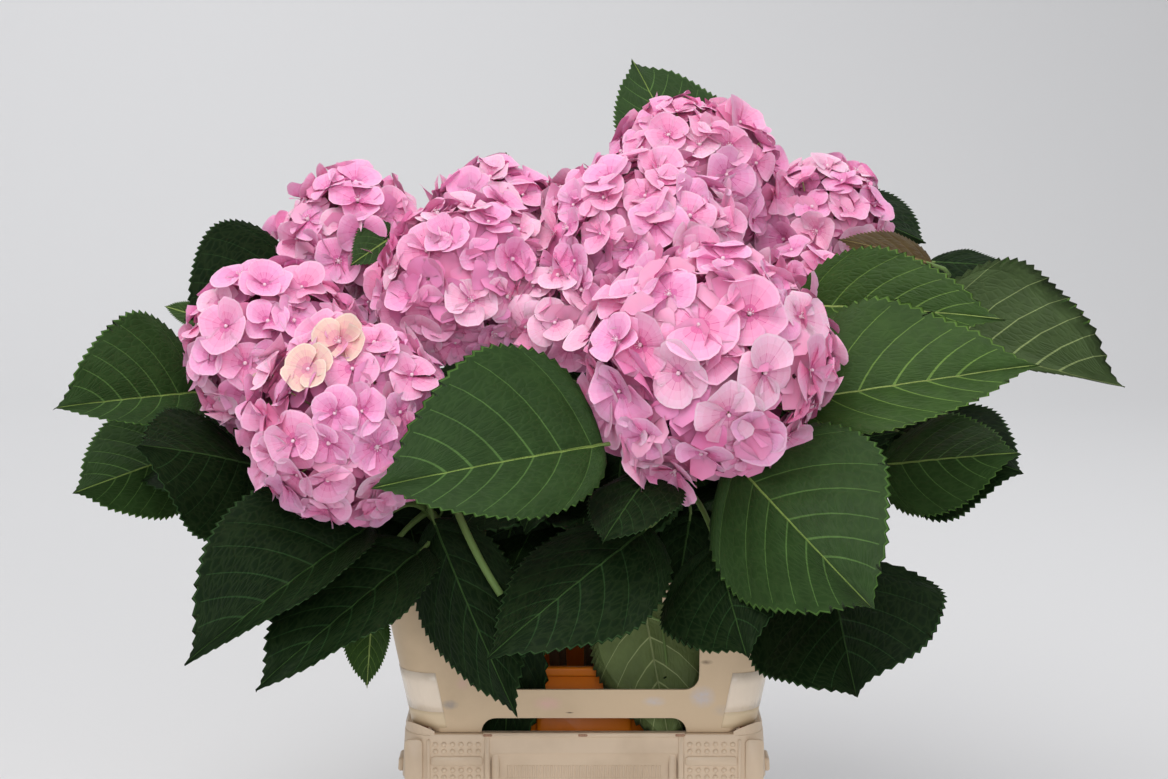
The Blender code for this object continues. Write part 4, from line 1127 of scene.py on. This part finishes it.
COLLAR_FOOT = (144.5, 194.5)
COLLAR_FOOT_HEIGHT = 218.3
COLLAR_HEIGHT = 132
COLLAR_FLARE = 0.18
COLLAR_WALL = 3
COLLAR_CORNER = 30
COLLAR_STEPS = 6
WINDOW_SPAN = (256.5, 332)
WINDOW_HALF_WIDTH = (95, 142)  # on the short sides, on the long sides
SLOT_TOP = 231
SLOT_HALF_WIDTH = (85, 120)
OPENING_CORNER = 12
CUTTER_ENDS = (225, 175)  # how far the cutters reach, through the short sides and the long sides
SLOT_BELOW = 30
CORNER_CUT = (27, 24)  # run and rise of the diagonal cut at each foot corner
CUT_FACE = ((-1, -0.6), (1, -0.6), (1, 1.6), (-1, 1.6))  # its cutter's corners, along and up the cut
CUT_BELOW, CUT_LEAN, CUT_DEPTH = 2, 0.4, 60
FILM_HEIGHTS, FILM_RISE = (18, 53), 0.45
YELLOW_HEIGHTS, YELLOW_RISE = (4, 18.5), 0.15
PATCH_SUNK, PATCH_OVERLAP, PATCH_STEPS = 0.3, 1.5, 16
PATCH_SHARES = (0.001, 0.33, 0.66, 0.999)  # rows of a patch that stand proud, up its height

BUCKET_PROFILE = (
    (94.5, 136.5, 37, 4.3),
    (96.0, 138.0, 38, 5.8),
    (115.8, 161.8, 38, 257.5),
    (119.6, 165.6, 42, 258.2),
    (121.0, 167.0, 43, 259.4),
    (121.0, 167.0, 43, 265.0),
    (119.9, 165.9, 42, 266.3),
    (114.6, 160.6, 37, 266.3),
    (113.5, 159.5, 36, 264.8),
    (93.5, 135.5, 35.5, 7.3),
)
BUCKET_WALLS = ((138.0, 4.3), (162.0, 259.3))
PAD = (40, 165, 240, 6)  # half width, foot, top, reach

# Marks on the collar: place along its front and height, half sizes, colour and strength
COLLAR_MARKS = (
    ((-111, 243), (8, 5), "7F7F88", 0.55),
    ((-100, 262), (7, 7), "D9A9A8", 0.3),
    ((-66, 250), (9, 5), "DDA9A9", 0.3),
    ((-30, 244), (14, 7), "DDA9A9", 0.4),
    ((-12, 236), (4, 0.8), "5A4332", 0.9),
    ((101, 281), (6, 2.5), "6B5540", 0.6),
    ((98, 250), (12, 11), "C2C2D0", 0.45),
    ((58, 246), (11, 5), "C6C4CF", 0.4),
    ((116, 238), (12, 6), "BDAFA4", 0.4),
)
MARK_WALL, MARK_DEPTH = -0.2, 0.03  # metres: where the marked wall stands, and how deep marks reach
MARK_FADE = (1.0, 0.3)  # where a mark starts and is full, against its half size
MARK_STRENGTH = 2  # against the half that its grit takes away
MARK_GRIT = 3.5
FILM_DRAWN = (1.0, 1.0, 0.3)  # wrinkles of the film are longer upwards
FILM_WRINKLE = 7


def ring(half_x, half_y, corner, height, steps=10):
    """Points of a rectangle with round corners, from the right wall's corner round through the back."""
    points = []
    for quarter, (sx, sy) in enumerate(((1, 1), (-1, 1), (-1, -1), (1, -1))):
        for step in range(steps + 1):
            turn = math.pi / 2 * (quarter + step / steps)
            x = sx * (half_x - corner) + corner * math.cos(turn)
            y = sy * (half_y - corner) + corner * math.sin(turn)
            points.append((x, y, height))
    return points


def skin_rings(bm, rings, closed=False):
    """Faces between rings of equal length, with the ends capped, or joined where the row is closed."""
    rows = [[bm.verts.new(point) for point in each] for each in rings]
    pairs = zip(rows, rows[1:] + rows[:1]) if closed else zip(rows, rows[1:])
    for lower, upper in pairs:
        for i, corner in enumerate(lower):
            after = (i + 1) % len(lower)
            bm.faces.new((corner, lower[after], upper[after], upper[i]))
    if not closed:
        bm.faces.new(rows[0][::-1])
        bm.faces.new(rows[-1])


def rounded(u_span, z_span, radius, steps=6):
    """The outline of a plate with round corners, as pairs."""
    (u0, u1), (z0, z1) = u_span, z_span
    radius = min(radius, (u1 - u0) / 2, (z1 - z0) / 2)
    middles = ((u1 - radius, z1 - radius), (u0 + radius, z1 - radius), (u0 + radius, z0 + radius),
               (u1 - radius, z0 + radius))
    points = []
    for quarter, (u, z) in enumerate(middles):
        for step in range(steps + 1):
            turn = math.pi / 2 * (quarter + step / steps)
            points.append((u + radius * math.cos(turn), z + radius * math.sin(turn)))
    return points


def on_side(side, u, out, z):
    """A point of a side's face, from its place along the side and its distance from the middle."""
    return {"front": (u, -out, z), "back": (-u, out, z), "left": (-out, -u, z), "right": (out, u, z)}[side]


def plate(bm, side, u_span, z_span, rise, walls, radius=1.2, edge=0.6):
    """A raised plate with softened edges on a leaning wall, rooted inside it."""
    (low_out, low_z), (high_out, high_z) = walls
    inner = ((u_span[0] + edge, u_span[1] - edge), (z_span[0] + edge, z_span[1] - edge))
    whole = rounded(u_span, z_span, radius)
    rows = []
    top = rounded(*inner, max(radius - edge, PLATE_CORNER))
    for row, out in ((whole, -PLATE_ROOT), (whole, rise - edge), (top, rise)):
        lean = [low_out + (high_out - low_out) * (z - low_z) / (high_z - low_z) for _, z in row]
        rows.append([on_side(side, u, wall + out, z) for (u, z), wall in zip(row, lean)])
    skin_rings(bm, rows)


def stud(bm, side, u, z, out):
    """A round dome on a side's face."""
    turns = [2 * math.pi * step / STUD_SIDES for step in range(STUD_SIDES)]
    rows = []
    for lift in STUD_DOME:
        reach = STUD_RADIUS * math.sqrt(max(STUD_TIP, 1 - max(lift, 0) ** 2))
        away = out + lift * STUD_HEIGHT
        rows.append([on_side(side, u + reach * math.cos(t), away, z + reach * math.sin(t)) for t in turns])
    skin_rings(bm, rows)


def shell(name, bm, outward=True):
    """An object of a mesh from a bmesh in millimetres, with the faces of a closed one turned out."""
    if outward:
        bmesh.ops.recalc_face_normals(bm, faces=bm.faces)
    bmesh.ops.scale(bm, vec=(MM, MM, MM), verts=bm.verts)
    mesh = bpy.data.meshes.new(name)
    bm.to_mesh(mesh)
    bm.free()
    return bpy.data.objects.new(name, mesh)


def applied(target, kind, **settings):
    """Adds a modifier with its settings and keeps what it makes."""
    modifier = target.modifiers.new(kind.title(), kind)
    for name, value in settings.items():
        setattr(modifier, name, value)
    graph = bpy.context.evaluated_depsgraph_get()
    mesh = bpy.data.meshes.new_from_object(target.evaluated_get(graph))
    target.modifiers.remove(modifier)
    spent = target.data
    target.data = mesh
    bpy.data.meshes.remove(spent)


def cut_away(target, rows):
    """Cuts a skin over rows of points out of the target."""
    bm = bmesh.new()
    skin_rings(bm, rows)
    cutter = shell("cutter", bm)
    bpy.context.scene.collection.objects.link(cutter)
    applied(target, "BOOLEAN", operation="DIFFERENCE", solver="EXACT", object=cutter)
    bpy.data.objects.remove(cutter)


def softened(target, width):
    """Rounds the edges of a moulding."""
    sharp = {"limit_method": "ANGLE", "angle_limit": math.radians(SHARP_FROM)}
    applied(target, "BEVEL", width=width * MM, segments=2, **sharp)
    for face in target.data.polygons:
        face.use_smooth = True
    applied(target, "WEIGHTED_NORMAL", keep_sharp=False)


def joined(target, bm, smooth):
    """Adds loose mouldings to a shell."""
    more = shell("mouldings", bm)
    for face in more.data.polygons:
        face.use_smooth = smooth
    merged = bmesh.new()
    merged.from_mesh(target.data)
    merged.from_mesh(more.data)
    merged.to_mesh(target.data)
    merged.free()
    bpy.data.objects.remove(more)


def dressed(target, finish_made, nodes=()):
    """Gives a moulding its finish and seats it."""
    target.data.materials.append(finish_made)
    if target.name in bpy.context.scene.collection.objects:
        bpy.context.scene.collection.objects.unlink(target)
    return seated(target, nodes)


def short_side(bm, side):
    """The mouldings on one short side of the crate: studs, label bars, steps, lip and ribs."""
    for way in (-1, 1):
        for z in STUD_ROWS:
            for step in range(STUDS_ACROSS):
                u = way * LABEL_MIDDLE + (step - (STUDS_ACROSS - 1) / 2) * STUD_PITCH
                stud(bm, side, u, z, SKIRT[0][0] - (z - SKIRT[0][1]) * STUD_LEAN)
        label = (way * LABEL_MIDDLE - LABEL_HALF, way * LABEL_MIDDLE + LABEL_HALF)
        plate(bm, side, label, LABEL_HEIGHTS, LABEL_RISE, SKIRT, radius=3)
        for span, heights, rise in SKIRT_STEPS:
            plate(bm, side, sorted(way * u for u in span), heights, rise, SKIRT, radius=4)
        span, heights, rise = RECESS_CHEEK
        plate(bm, side, sorted(way * u for u in span), heights, rise, LEDGE_BED, radius=2.5)
    plate(bm, side, *RIM_LIP, SKIRT, radius=1.9, edge=0.9)
    for step in range(RECESS_RIBS):
        u = (step - RECESS_RIBS // 2) * RECESS_RIB_PITCH
        span = (u - RECESS_RIB_HALF, u + RECESS_RIB_HALF)
        plate(bm, side, span, RECESS_RIB_HEIGHTS, RECESS_RIB_RISE, RIB_BED, radius=0.4, edge=0.3)
    for step in SHORT_RIBS:
        u = step * SHORT_RIB_PITCH
        span = (u - RIB_HALF, u + RIB_HALF)
        plate(bm, side, span, RIB_HEIGHTS, RIB_RISE, BODY_WALLS, radius=0.8, edge=0.7)
    plate(bm, side, SHORT_BELT, BODY_BELT, BELT_RISE, BODY_WALLS, radius=1, edge=0.7)


def long_side(bm, side):
    """The mouldings on one long side of the crate: ribs, band, lugs and steps."""
    for step in LONG_RIBS:
        u = step * LONG_RIB_PITCH
        span = (u - RIB_HALF, u + RIB_HALF)
        for heights in HOLE_RIB_HEIGHTS if abs(u) < HOLE_RIBS_WITHIN else (RIB_HEIGHTS,):
            plate(bm, side, span, heights, RIB_RISE, LONG_BODY_WALLS, radius=0.8, edge=0.7)
    plate(bm, side, LONG_BELT, BODY_BELT, BELT_RISE, LONG_BODY_WALLS, radius=1, edge=0.7)
    plate(bm, side, *LONG_BAND, LONG_SKIRT, radius=2)
    half, low, high, reach = LUG
    for way in (-1, 1):
        middle = way * (LUG_END - half)
        span = (middle - half, middle + half)
        plate(bm, side, span, (low, high), reach, LONG_SKIRT, radius=2.5, edge=1.2)
        for out in LONG_STEPS:
            span = sorted((way * out, way * (out + LONG_STEP_WIDTH)))
            plate(bm, side, span, LONG_STEP_HEIGHTS, LONG_STEP_RISE, LONG_SKIRT, radius=1)


def gusset(bm, sx, sy):
    """The corner that rises beside the collar's diagonal cut."""
    run, rise = CORNER_CUT
    start = COLLAR_FOOT[0] + COLLAR_FOOT[1] - run
    inner = GUSSET_RADIUS - GUSSET_WALL
    least, most = GUSSET_LIFTS
    rows = []
    for step in range(GUSSET_STEPS + 1):
        turn = math.pi / 2 * step / GUSSET_STEPS
        row = []
        for radius, up in ((GUSSET_RADIUS, 0), (GUSSET_RADIUS, 1), (inner, 1), (inner, 0)):
            x = GUSSET_MIDDLE[0] + radius * math.cos(turn)
            y = GUSSET_MIDDLE[1] + radius * math.sin(turn)
            lift = min(most, max(least, GUSSET_SLOPE * rise / run * (x + y - start) - GUSSET_DROP))
            row.append((sx * x, sy * y, CRATE_TOP + lift if up else CRATE_TOP - GUSSET_ROOT))
        rows.append(row)
    skin_rings(bm, rows)


def crate():
    """The crate: one hollow moulding, with its recesses, hand holes, ribs, gussets and rusty notches."""
    bm = bmesh.new()
    skin_rings(bm, [ring(*each) for each in CRATE_PROFILE])
    made = shell("moulded_crate", bm)
    bpy.context.scene.collection.objects.link(made)
    half, top, ledge, foot, depth = RECESS
    upper, lower, outside_face = RECESS_FACES
    back = lower - depth
    for way in (-1, 1):
        profile = ((upper, top), (back, ledge), (back, foot), (outside_face, foot), (outside_face, top))
        cut_away(made, [[(x, way * y, z) for y, z in profile] for x in (-half, half)])
        hole = rounded(*HAND_HOLE)
        cut_away(made, [[(x * way, u, z) for u, z in hole] for x in HAND_HOLE_REACH])
    softened(made, CRATE_EDGE)
    mouldings, gussets, rust = bmesh.new(), bmesh.new(), bmesh.new()
    for side in ("front", "back"):
        short_side(mouldings, side)
        for span in RUST_SPANS:
            plate(rust, side, span, RUST_HEIGHTS, RUST_RISE, SKIRT, radius=1.0, edge=0.3)
    for side in ("left", "right"):
        long_side(mouldings, side)
    for sx, sy in CORNERS:
        gusset(gussets, sx, sy)
    joined(made, mouldings, True)
    joined(made, gussets, False)
    dressed(shell("rusty_notches", rust), rust_finish())
    cream = plastic_finish("cream_polypropylene_crate", "D6BFA4", "9A8060")
    dressed(made, cream, ("crate",))


def rust_finish():
    """Rust and glue left in a notch: rough, dark, and broken up."""
    made, tree, shader = finish("rusty_residue", "8A5034", roughness=0.8)
    blots = broken_up(tree, shader, size_mm=1.2, rough=(0.6, 0.95), depth_mm=0.3, detail=3.0)
    tints = {MIX_SHARE: blots, MIX_FROM: (*linear("6E3420"), 1), MIX_TO: (*linear("C9A78A"), 1)}
    tint = node(tree, "ShaderNodeMix", tints, data_type="RGBA")
    tree.links.new(tint.outputs[MIXED], shader.inputs["Base Color"])
    return made


def collar_ring(height, out=0.0):
    """The collar's outside at a height above its foot, or that far outside it."""
    grow = COLLAR_FLARE * height + out
    half_x, half_y = COLLAR_FOOT[0] + grow, COLLAR_FOOT[1] + grow
    return ring(half_x, half_y, COLLAR_CORNER + out, COLLAR_FOOT_HEIGHT + height)


def collar():
    """The collar: a flared wall with a window and a slot in each side, cut away at its foot corners."""
    bm = bmesh.new()
    heights = [COLLAR_HEIGHT * step / COLLAR_STEPS for step in range(COLLAR_STEPS + 1)]
    rings = [collar_ring(height) for height in heights]
    rings += [collar_ring(height, -COLLAR_WALL) for height in heights[::-1]]
    skin_rings(bm, rings, closed=True)
    made = shell("moulded_collar", bm)
    bpy.context.scene.collection.objects.link(made)
    foot = COLLAR_FOOT_HEIGHT
    slot_span = (foot - SLOT_BELOW, SLOT_TOP)
    for index, far in enumerate(CUTTER_ENDS):
        openings = ((WINDOW_HALF_WIDTH[index], WINDOW_SPAN), (SLOT_HALF_WIDTH[index], slot_span))
        for half, heights in openings:
            hole = rounded((-half, half), heights, OPENING_CORNER)
            ends = []
            for at in (-far, far):
                ends.append([(u, at, z) if index == 0 else (at, u, z) for u, z in hole])
            cut_away(made, ends)
    run, rise = CORNER_CUT
    for sx, sy in CORNERS:
        # A plane through the feet of both walls and the corner's own edge cuts away all that lies below it
        x, y = sx * COLLAR_FOOT[0], sy * COLLAR_FOOT[1]
        side_foot = Vector((x, y - sy * run, foot - CUT_BELOW))
        front_foot = Vector((x - sx * run, y, foot - CUT_BELOW))
        middle = (side_foot + front_foot) / 2
        along = (front_foot - side_foot).normalized() * 2 * run
        climb = Vector((x, y, foot + rise)) - middle
        face = [middle + along * a + climb * b for a, b in CUT_FACE]
        down = Vector((sx * CUT_LEAN, sy * CUT_LEAN, -1)) * CUT_DEPTH
        cut_away(made, [[tuple(p) for p in face], [tuple(p + down) for p in face]])
    softened(made, COLLAR_EDGE)
    dressed(made, collar_finish(), ("collar",))
    film = film_finish()
    yellowed = plastic_finish("yellowed_polypropylene", "DCC6A4", "B0946C")
    for sx, sy in CORNERS:
        corner_patch("film", sx, sy, FILM_HEIGHTS, FILM_RISE, film)
        corner_patch("yellowed_corner", sx, sy, YELLOW_HEIGHTS, YELLOW_RISE, yellowed)


def corner_patch(name, sx, sy, heights, rise, finish_made):
    """A thin skin round a corner of the collar, between two heights above its foot."""
    low, high = heights
    edge = PATCH_SUNK + rise
    profile = [(0, -PATCH_SUNK), *((share, rise) for share in PATCH_SHARES), (1, -PATCH_SUNK)]
    rows = []
    for share, out in profile:
        height = low + (high - low) * share
        grow = COLLAR_FLARE * height
        radius = COLLAR_CORNER
        x0, y0 = COLLAR_FOOT[0] + grow - radius, COLLAR_FOOT[1] + grow - radius
        turns = [math.pi / 2 * step / PATCH_STEPS for step in range(PATCH_STEPS + 1)]
        row = [(x0 + (radius + out) * math.cos(turn), y0 + (radius + out) * math.sin(turn)) for turn in turns]
        (first_x, first_y), (last_x, last_y) = row[0], row[-1]
        before_y, after_x = first_y - PATCH_OVERLAP, last_x - PATCH_OVERLAP
        row = [(first_x - edge, before_y), (first_x, before_y)] + row
        row += [(after_x, last_y), (after_x, last_y - edge)]
        rows.append([(sx * x, sy * y, COLLAR_FOOT_HEIGHT + height) for x, y in row])
    bm = bmesh.new()
    grid = [[bm.verts.new(point) for point in row] for row in rows]
    for lower, upper in zip(grid, grid[1:]):
        for i in range(len(lower) - 1):
            bm.faces.new((lower[i], lower[i + 1], upper[i + 1], upper[i]))
    if sx * sy < 0:
        bmesh.ops.reverse_faces(bm, faces=bm.faces)
    label = f"{name}_{'right' if sx > 0 else 'left'}_{'back' if sy > 0 else 'front'}"
    made = shell(label, bm, outward=False)
    for face in made.data.polygons:
        face.use_smooth = True
    dressed(made, finish_made)


def bucket():
    """The bucket: a tapered, lipped vessel with a flat pad on each short side."""
    bm = bmesh.new()
    skin_rings(bm, [ring(*each) for each in BUCKET_PROFILE])
    made = shell("flower_bucket", bm)
    bpy.context.scene.collection.objects.link(made)
    softened(made, BUCKET_EDGE)
    half, low, high, reach = PAD
    pads = bmesh.new()
    for side in ("front", "back"):
        plate(pads, side, (-half, half), (low, high), reach, BUCKET_WALLS, radius=6, edge=1.5)
    joined(made, pads, True)
    orange = plastic_finish("orange_polypropylene", "F0820E", "A14A0C", rough=(0.3, 0.5), blot_mm=50)
    dressed(made, orange, ("bucket",))


def collar_finish():
    """Moulded polypropylene, used: satin cream with ground-in dirt, and smears in some places."""
    made = plastic_finish("cream_polypropylene_collar", "D2B998", "9A8463")
    tree = made.node_tree
    shader = tree.nodes["Principled BSDF"]
    colour = shader.inputs["Base Color"].links[0].from_socket
    place = node(tree, "ShaderNodeTexCoord").outputs["Object"]
    grit = {"Vector": place, "Scale": 1 / (MARK_GRIT * MM), "Detail": 5.0}
    break_up = node(tree, "ShaderNodeTexNoise", grit).outputs["Fac"]
    for (x, z), (wide, high), shade, strength in COLLAR_MARKS:
        middle = (x * MM, MARK_WALL, z * MM)
        moved = node(tree, "ShaderNodeVectorMath", {0: place, 1: middle}, operation="SUBTRACT")
        scale = (1 / (wide * MM), 1 / MARK_DEPTH, 1 / (high * MM))
        sized = node(tree, "ShaderNodeVectorMath", {0: moved.outputs[0], 1: scale}, operation="MULTIPLY")
        far = node(tree, "ShaderNodeVectorMath", {0: sized.outputs[0]}, operation="LENGTH").outputs["Value"]
        fade = {"Value": far, "From Min": MARK_FADE[0], "From Max": MARK_FADE[1]}
        fade["To Max"] = strength * MARK_STRENGTH
        near = node(tree, "ShaderNodeMapRange", fade).outputs["Result"]
        share = node(tree, "ShaderNodeMath", {0: near, 1: break_up}, operation="MULTIPLY", use_clamp=True)
        tints = {MIX_SHARE: share.outputs[0], MIX_FROM: colour, MIX_TO: (*linear(shade), 1)}
        colour = node(tree, "ShaderNodeMix", tints, data_type="RGBA").outputs[MIXED]
    tree.links.new(colour, shader.inputs["Base Color"])
    return made


def film_finish():
    """Old clear label film: a glossy skin gone milky, wrinkled where it has let go."""
    made, tree, shader = finish(
        "label_film", "EEDDC8", roughness=0.16, ior=1.5, Coat_Weight=0.4, Coat_Roughness=0.08
    )
    place = node(tree, "ShaderNodeTexCoord").outputs["Object"]
    drawn = node(tree, "ShaderNodeMapping", {"Vector": place, "Scale": FILM_DRAWN}).outputs["Vector"]
    spread = {"Vector": drawn, "Scale": 1 / (FILM_WRINKLE * MM), "Detail": 3.0}
    wrinkles = node(tree, "ShaderNodeTexNoise", spread).outputs["Fac"]
    bump = node(tree, "ShaderNodeBump", {"Height": wrinkles, "Distance": 1.0 * MM}).outputs["Normal"]
    surface = {"rough": (0.1, 0.3), "depth_mm": 0.1, "detail": 3.0}
    broken_up(tree, shader, size_mm=6, below=bump, place=place, **surface)
    return made


crate()
collar()
bucket()


# ---------------------------------------------------------------- stage, light, camera

# Lamps, in metres and watts: place, target, width, power and colour
LAMPS = {
    "key": ((-0.7, -1.3, 2.8), (0, 0, 0.4), 2.2, 44, "FFFDFA"),
    "fill": ((0.3, -3.0, 1.5), (0, 0, 0.4), 2.0, 29, "FBFBFF"),
    "wall_wash": ((-1.6, 2.6, 4.2), (-1.0, 5.2, 1.4), 3.0, 74, "FAFAFB"),
    "floor_wash": ((1.5, 1.5, 2.7), (0.6, 0.4, 0), 2.0, 18, "FAFAFB"),
}
SKY = ("F8F9FB", 0.48)
# Floor and wall, in metres: front and back of the flat part, radius of the bend, top of the wall, half width
FLOOR_FRONT, FLOOR_BACK, BEND, WALL_TOP, FLOOR_HALF = -30.0, 3.2, 2.2, 3.6, 30.0
BEND_STEPS = 24
VIEW_FOCAL, VIEW_WIDTH = 2400, 1168  # focal length and width of the view, in its own pixels
SENSOR = 36
VIEW_PLACE = (0, -2.130, 0.778)
VIEW_TILT = 82


def sweep():
    """A pale seamless floor that turns up into the wall behind."""
    profile = [(FLOOR_FRONT, 0.0), (FLOOR_BACK, 0.0)]
    for step in range(1, BEND_STEPS + 1):
        turn = math.radians(90 * step / BEND_STEPS)
        profile.append((FLOOR_BACK + BEND * math.sin(turn), BEND * (1 - math.cos(turn))))
    profile.append((FLOOR_BACK + BEND, WALL_TOP))
    points = [(x, y, z) for y, z in profile for x in (-FLOOR_HALF, FLOOR_HALF)]
    faces = [(2 * i, 2 * i + 1, 2 * i + 3, 2 * i + 2) for i in range(len(profile) - 1)]
    mesh = bpy.data.meshes.new("sweep")
    mesh.from_pydata(points, [], faces)
    for face in mesh.polygons:
        face.use_smooth = True
    # Emulsion rolled on board: dead matt, with a faint stipple drawn coarse enough to show
    made, tree, shader = finish("painted_board", "DEDEDF", roughness=0.85)
    broken_up(tree, shader, size_mm=6, rough=(0.75, 0.95), depth_mm=0.1, detail=3.0)
    mesh.materials.append(made)
    board = bpy.data.objects.new("sweep", mesh)
    bpy.context.scene.collection.objects.link(board)


sweep()
for name, (place, target, size, power, colour) in LAMPS.items():
    data = bpy.data.lights.new(name, "AREA")
    data.shape = "DISK"
    data.size = size
    data.energy = power
    data.color = linear(colour)
    lamp = bpy.data.objects.new(name, data)
    lamp.location = place
    lamp.rotation_euler = (Vector(place) - Vector(target)).to_track_quat("Z", "Y").to_euler()
    bpy.context.scene.collection.objects.link(lamp)

world = bpy.data.worlds.new("studio")
world.use_nodes = True
sky = world.node_tree.nodes["Background"]
sky.inputs["Color"].default_value = (*linear(SKY[0]), 1)
sky.inputs["Strength"].default_value = SKY[1]
bpy.context.scene.world = world
bpy.context.scene.view_settings.view_transform = "Standard"

lens = bpy.data.cameras.new("camera")
lens.sensor_width = SENSOR
lens.lens = SENSOR * VIEW_FOCAL / VIEW_WIDTH
camera = bpy.data.objects.new("camera", lens)
camera.location = VIEW_PLACE
camera.rotation_euler = (math.radians(VIEW_TILT), 0, 0)
bpy.context.scene.collection.objects.link(camera)
bpy.context.scene.camera = camera
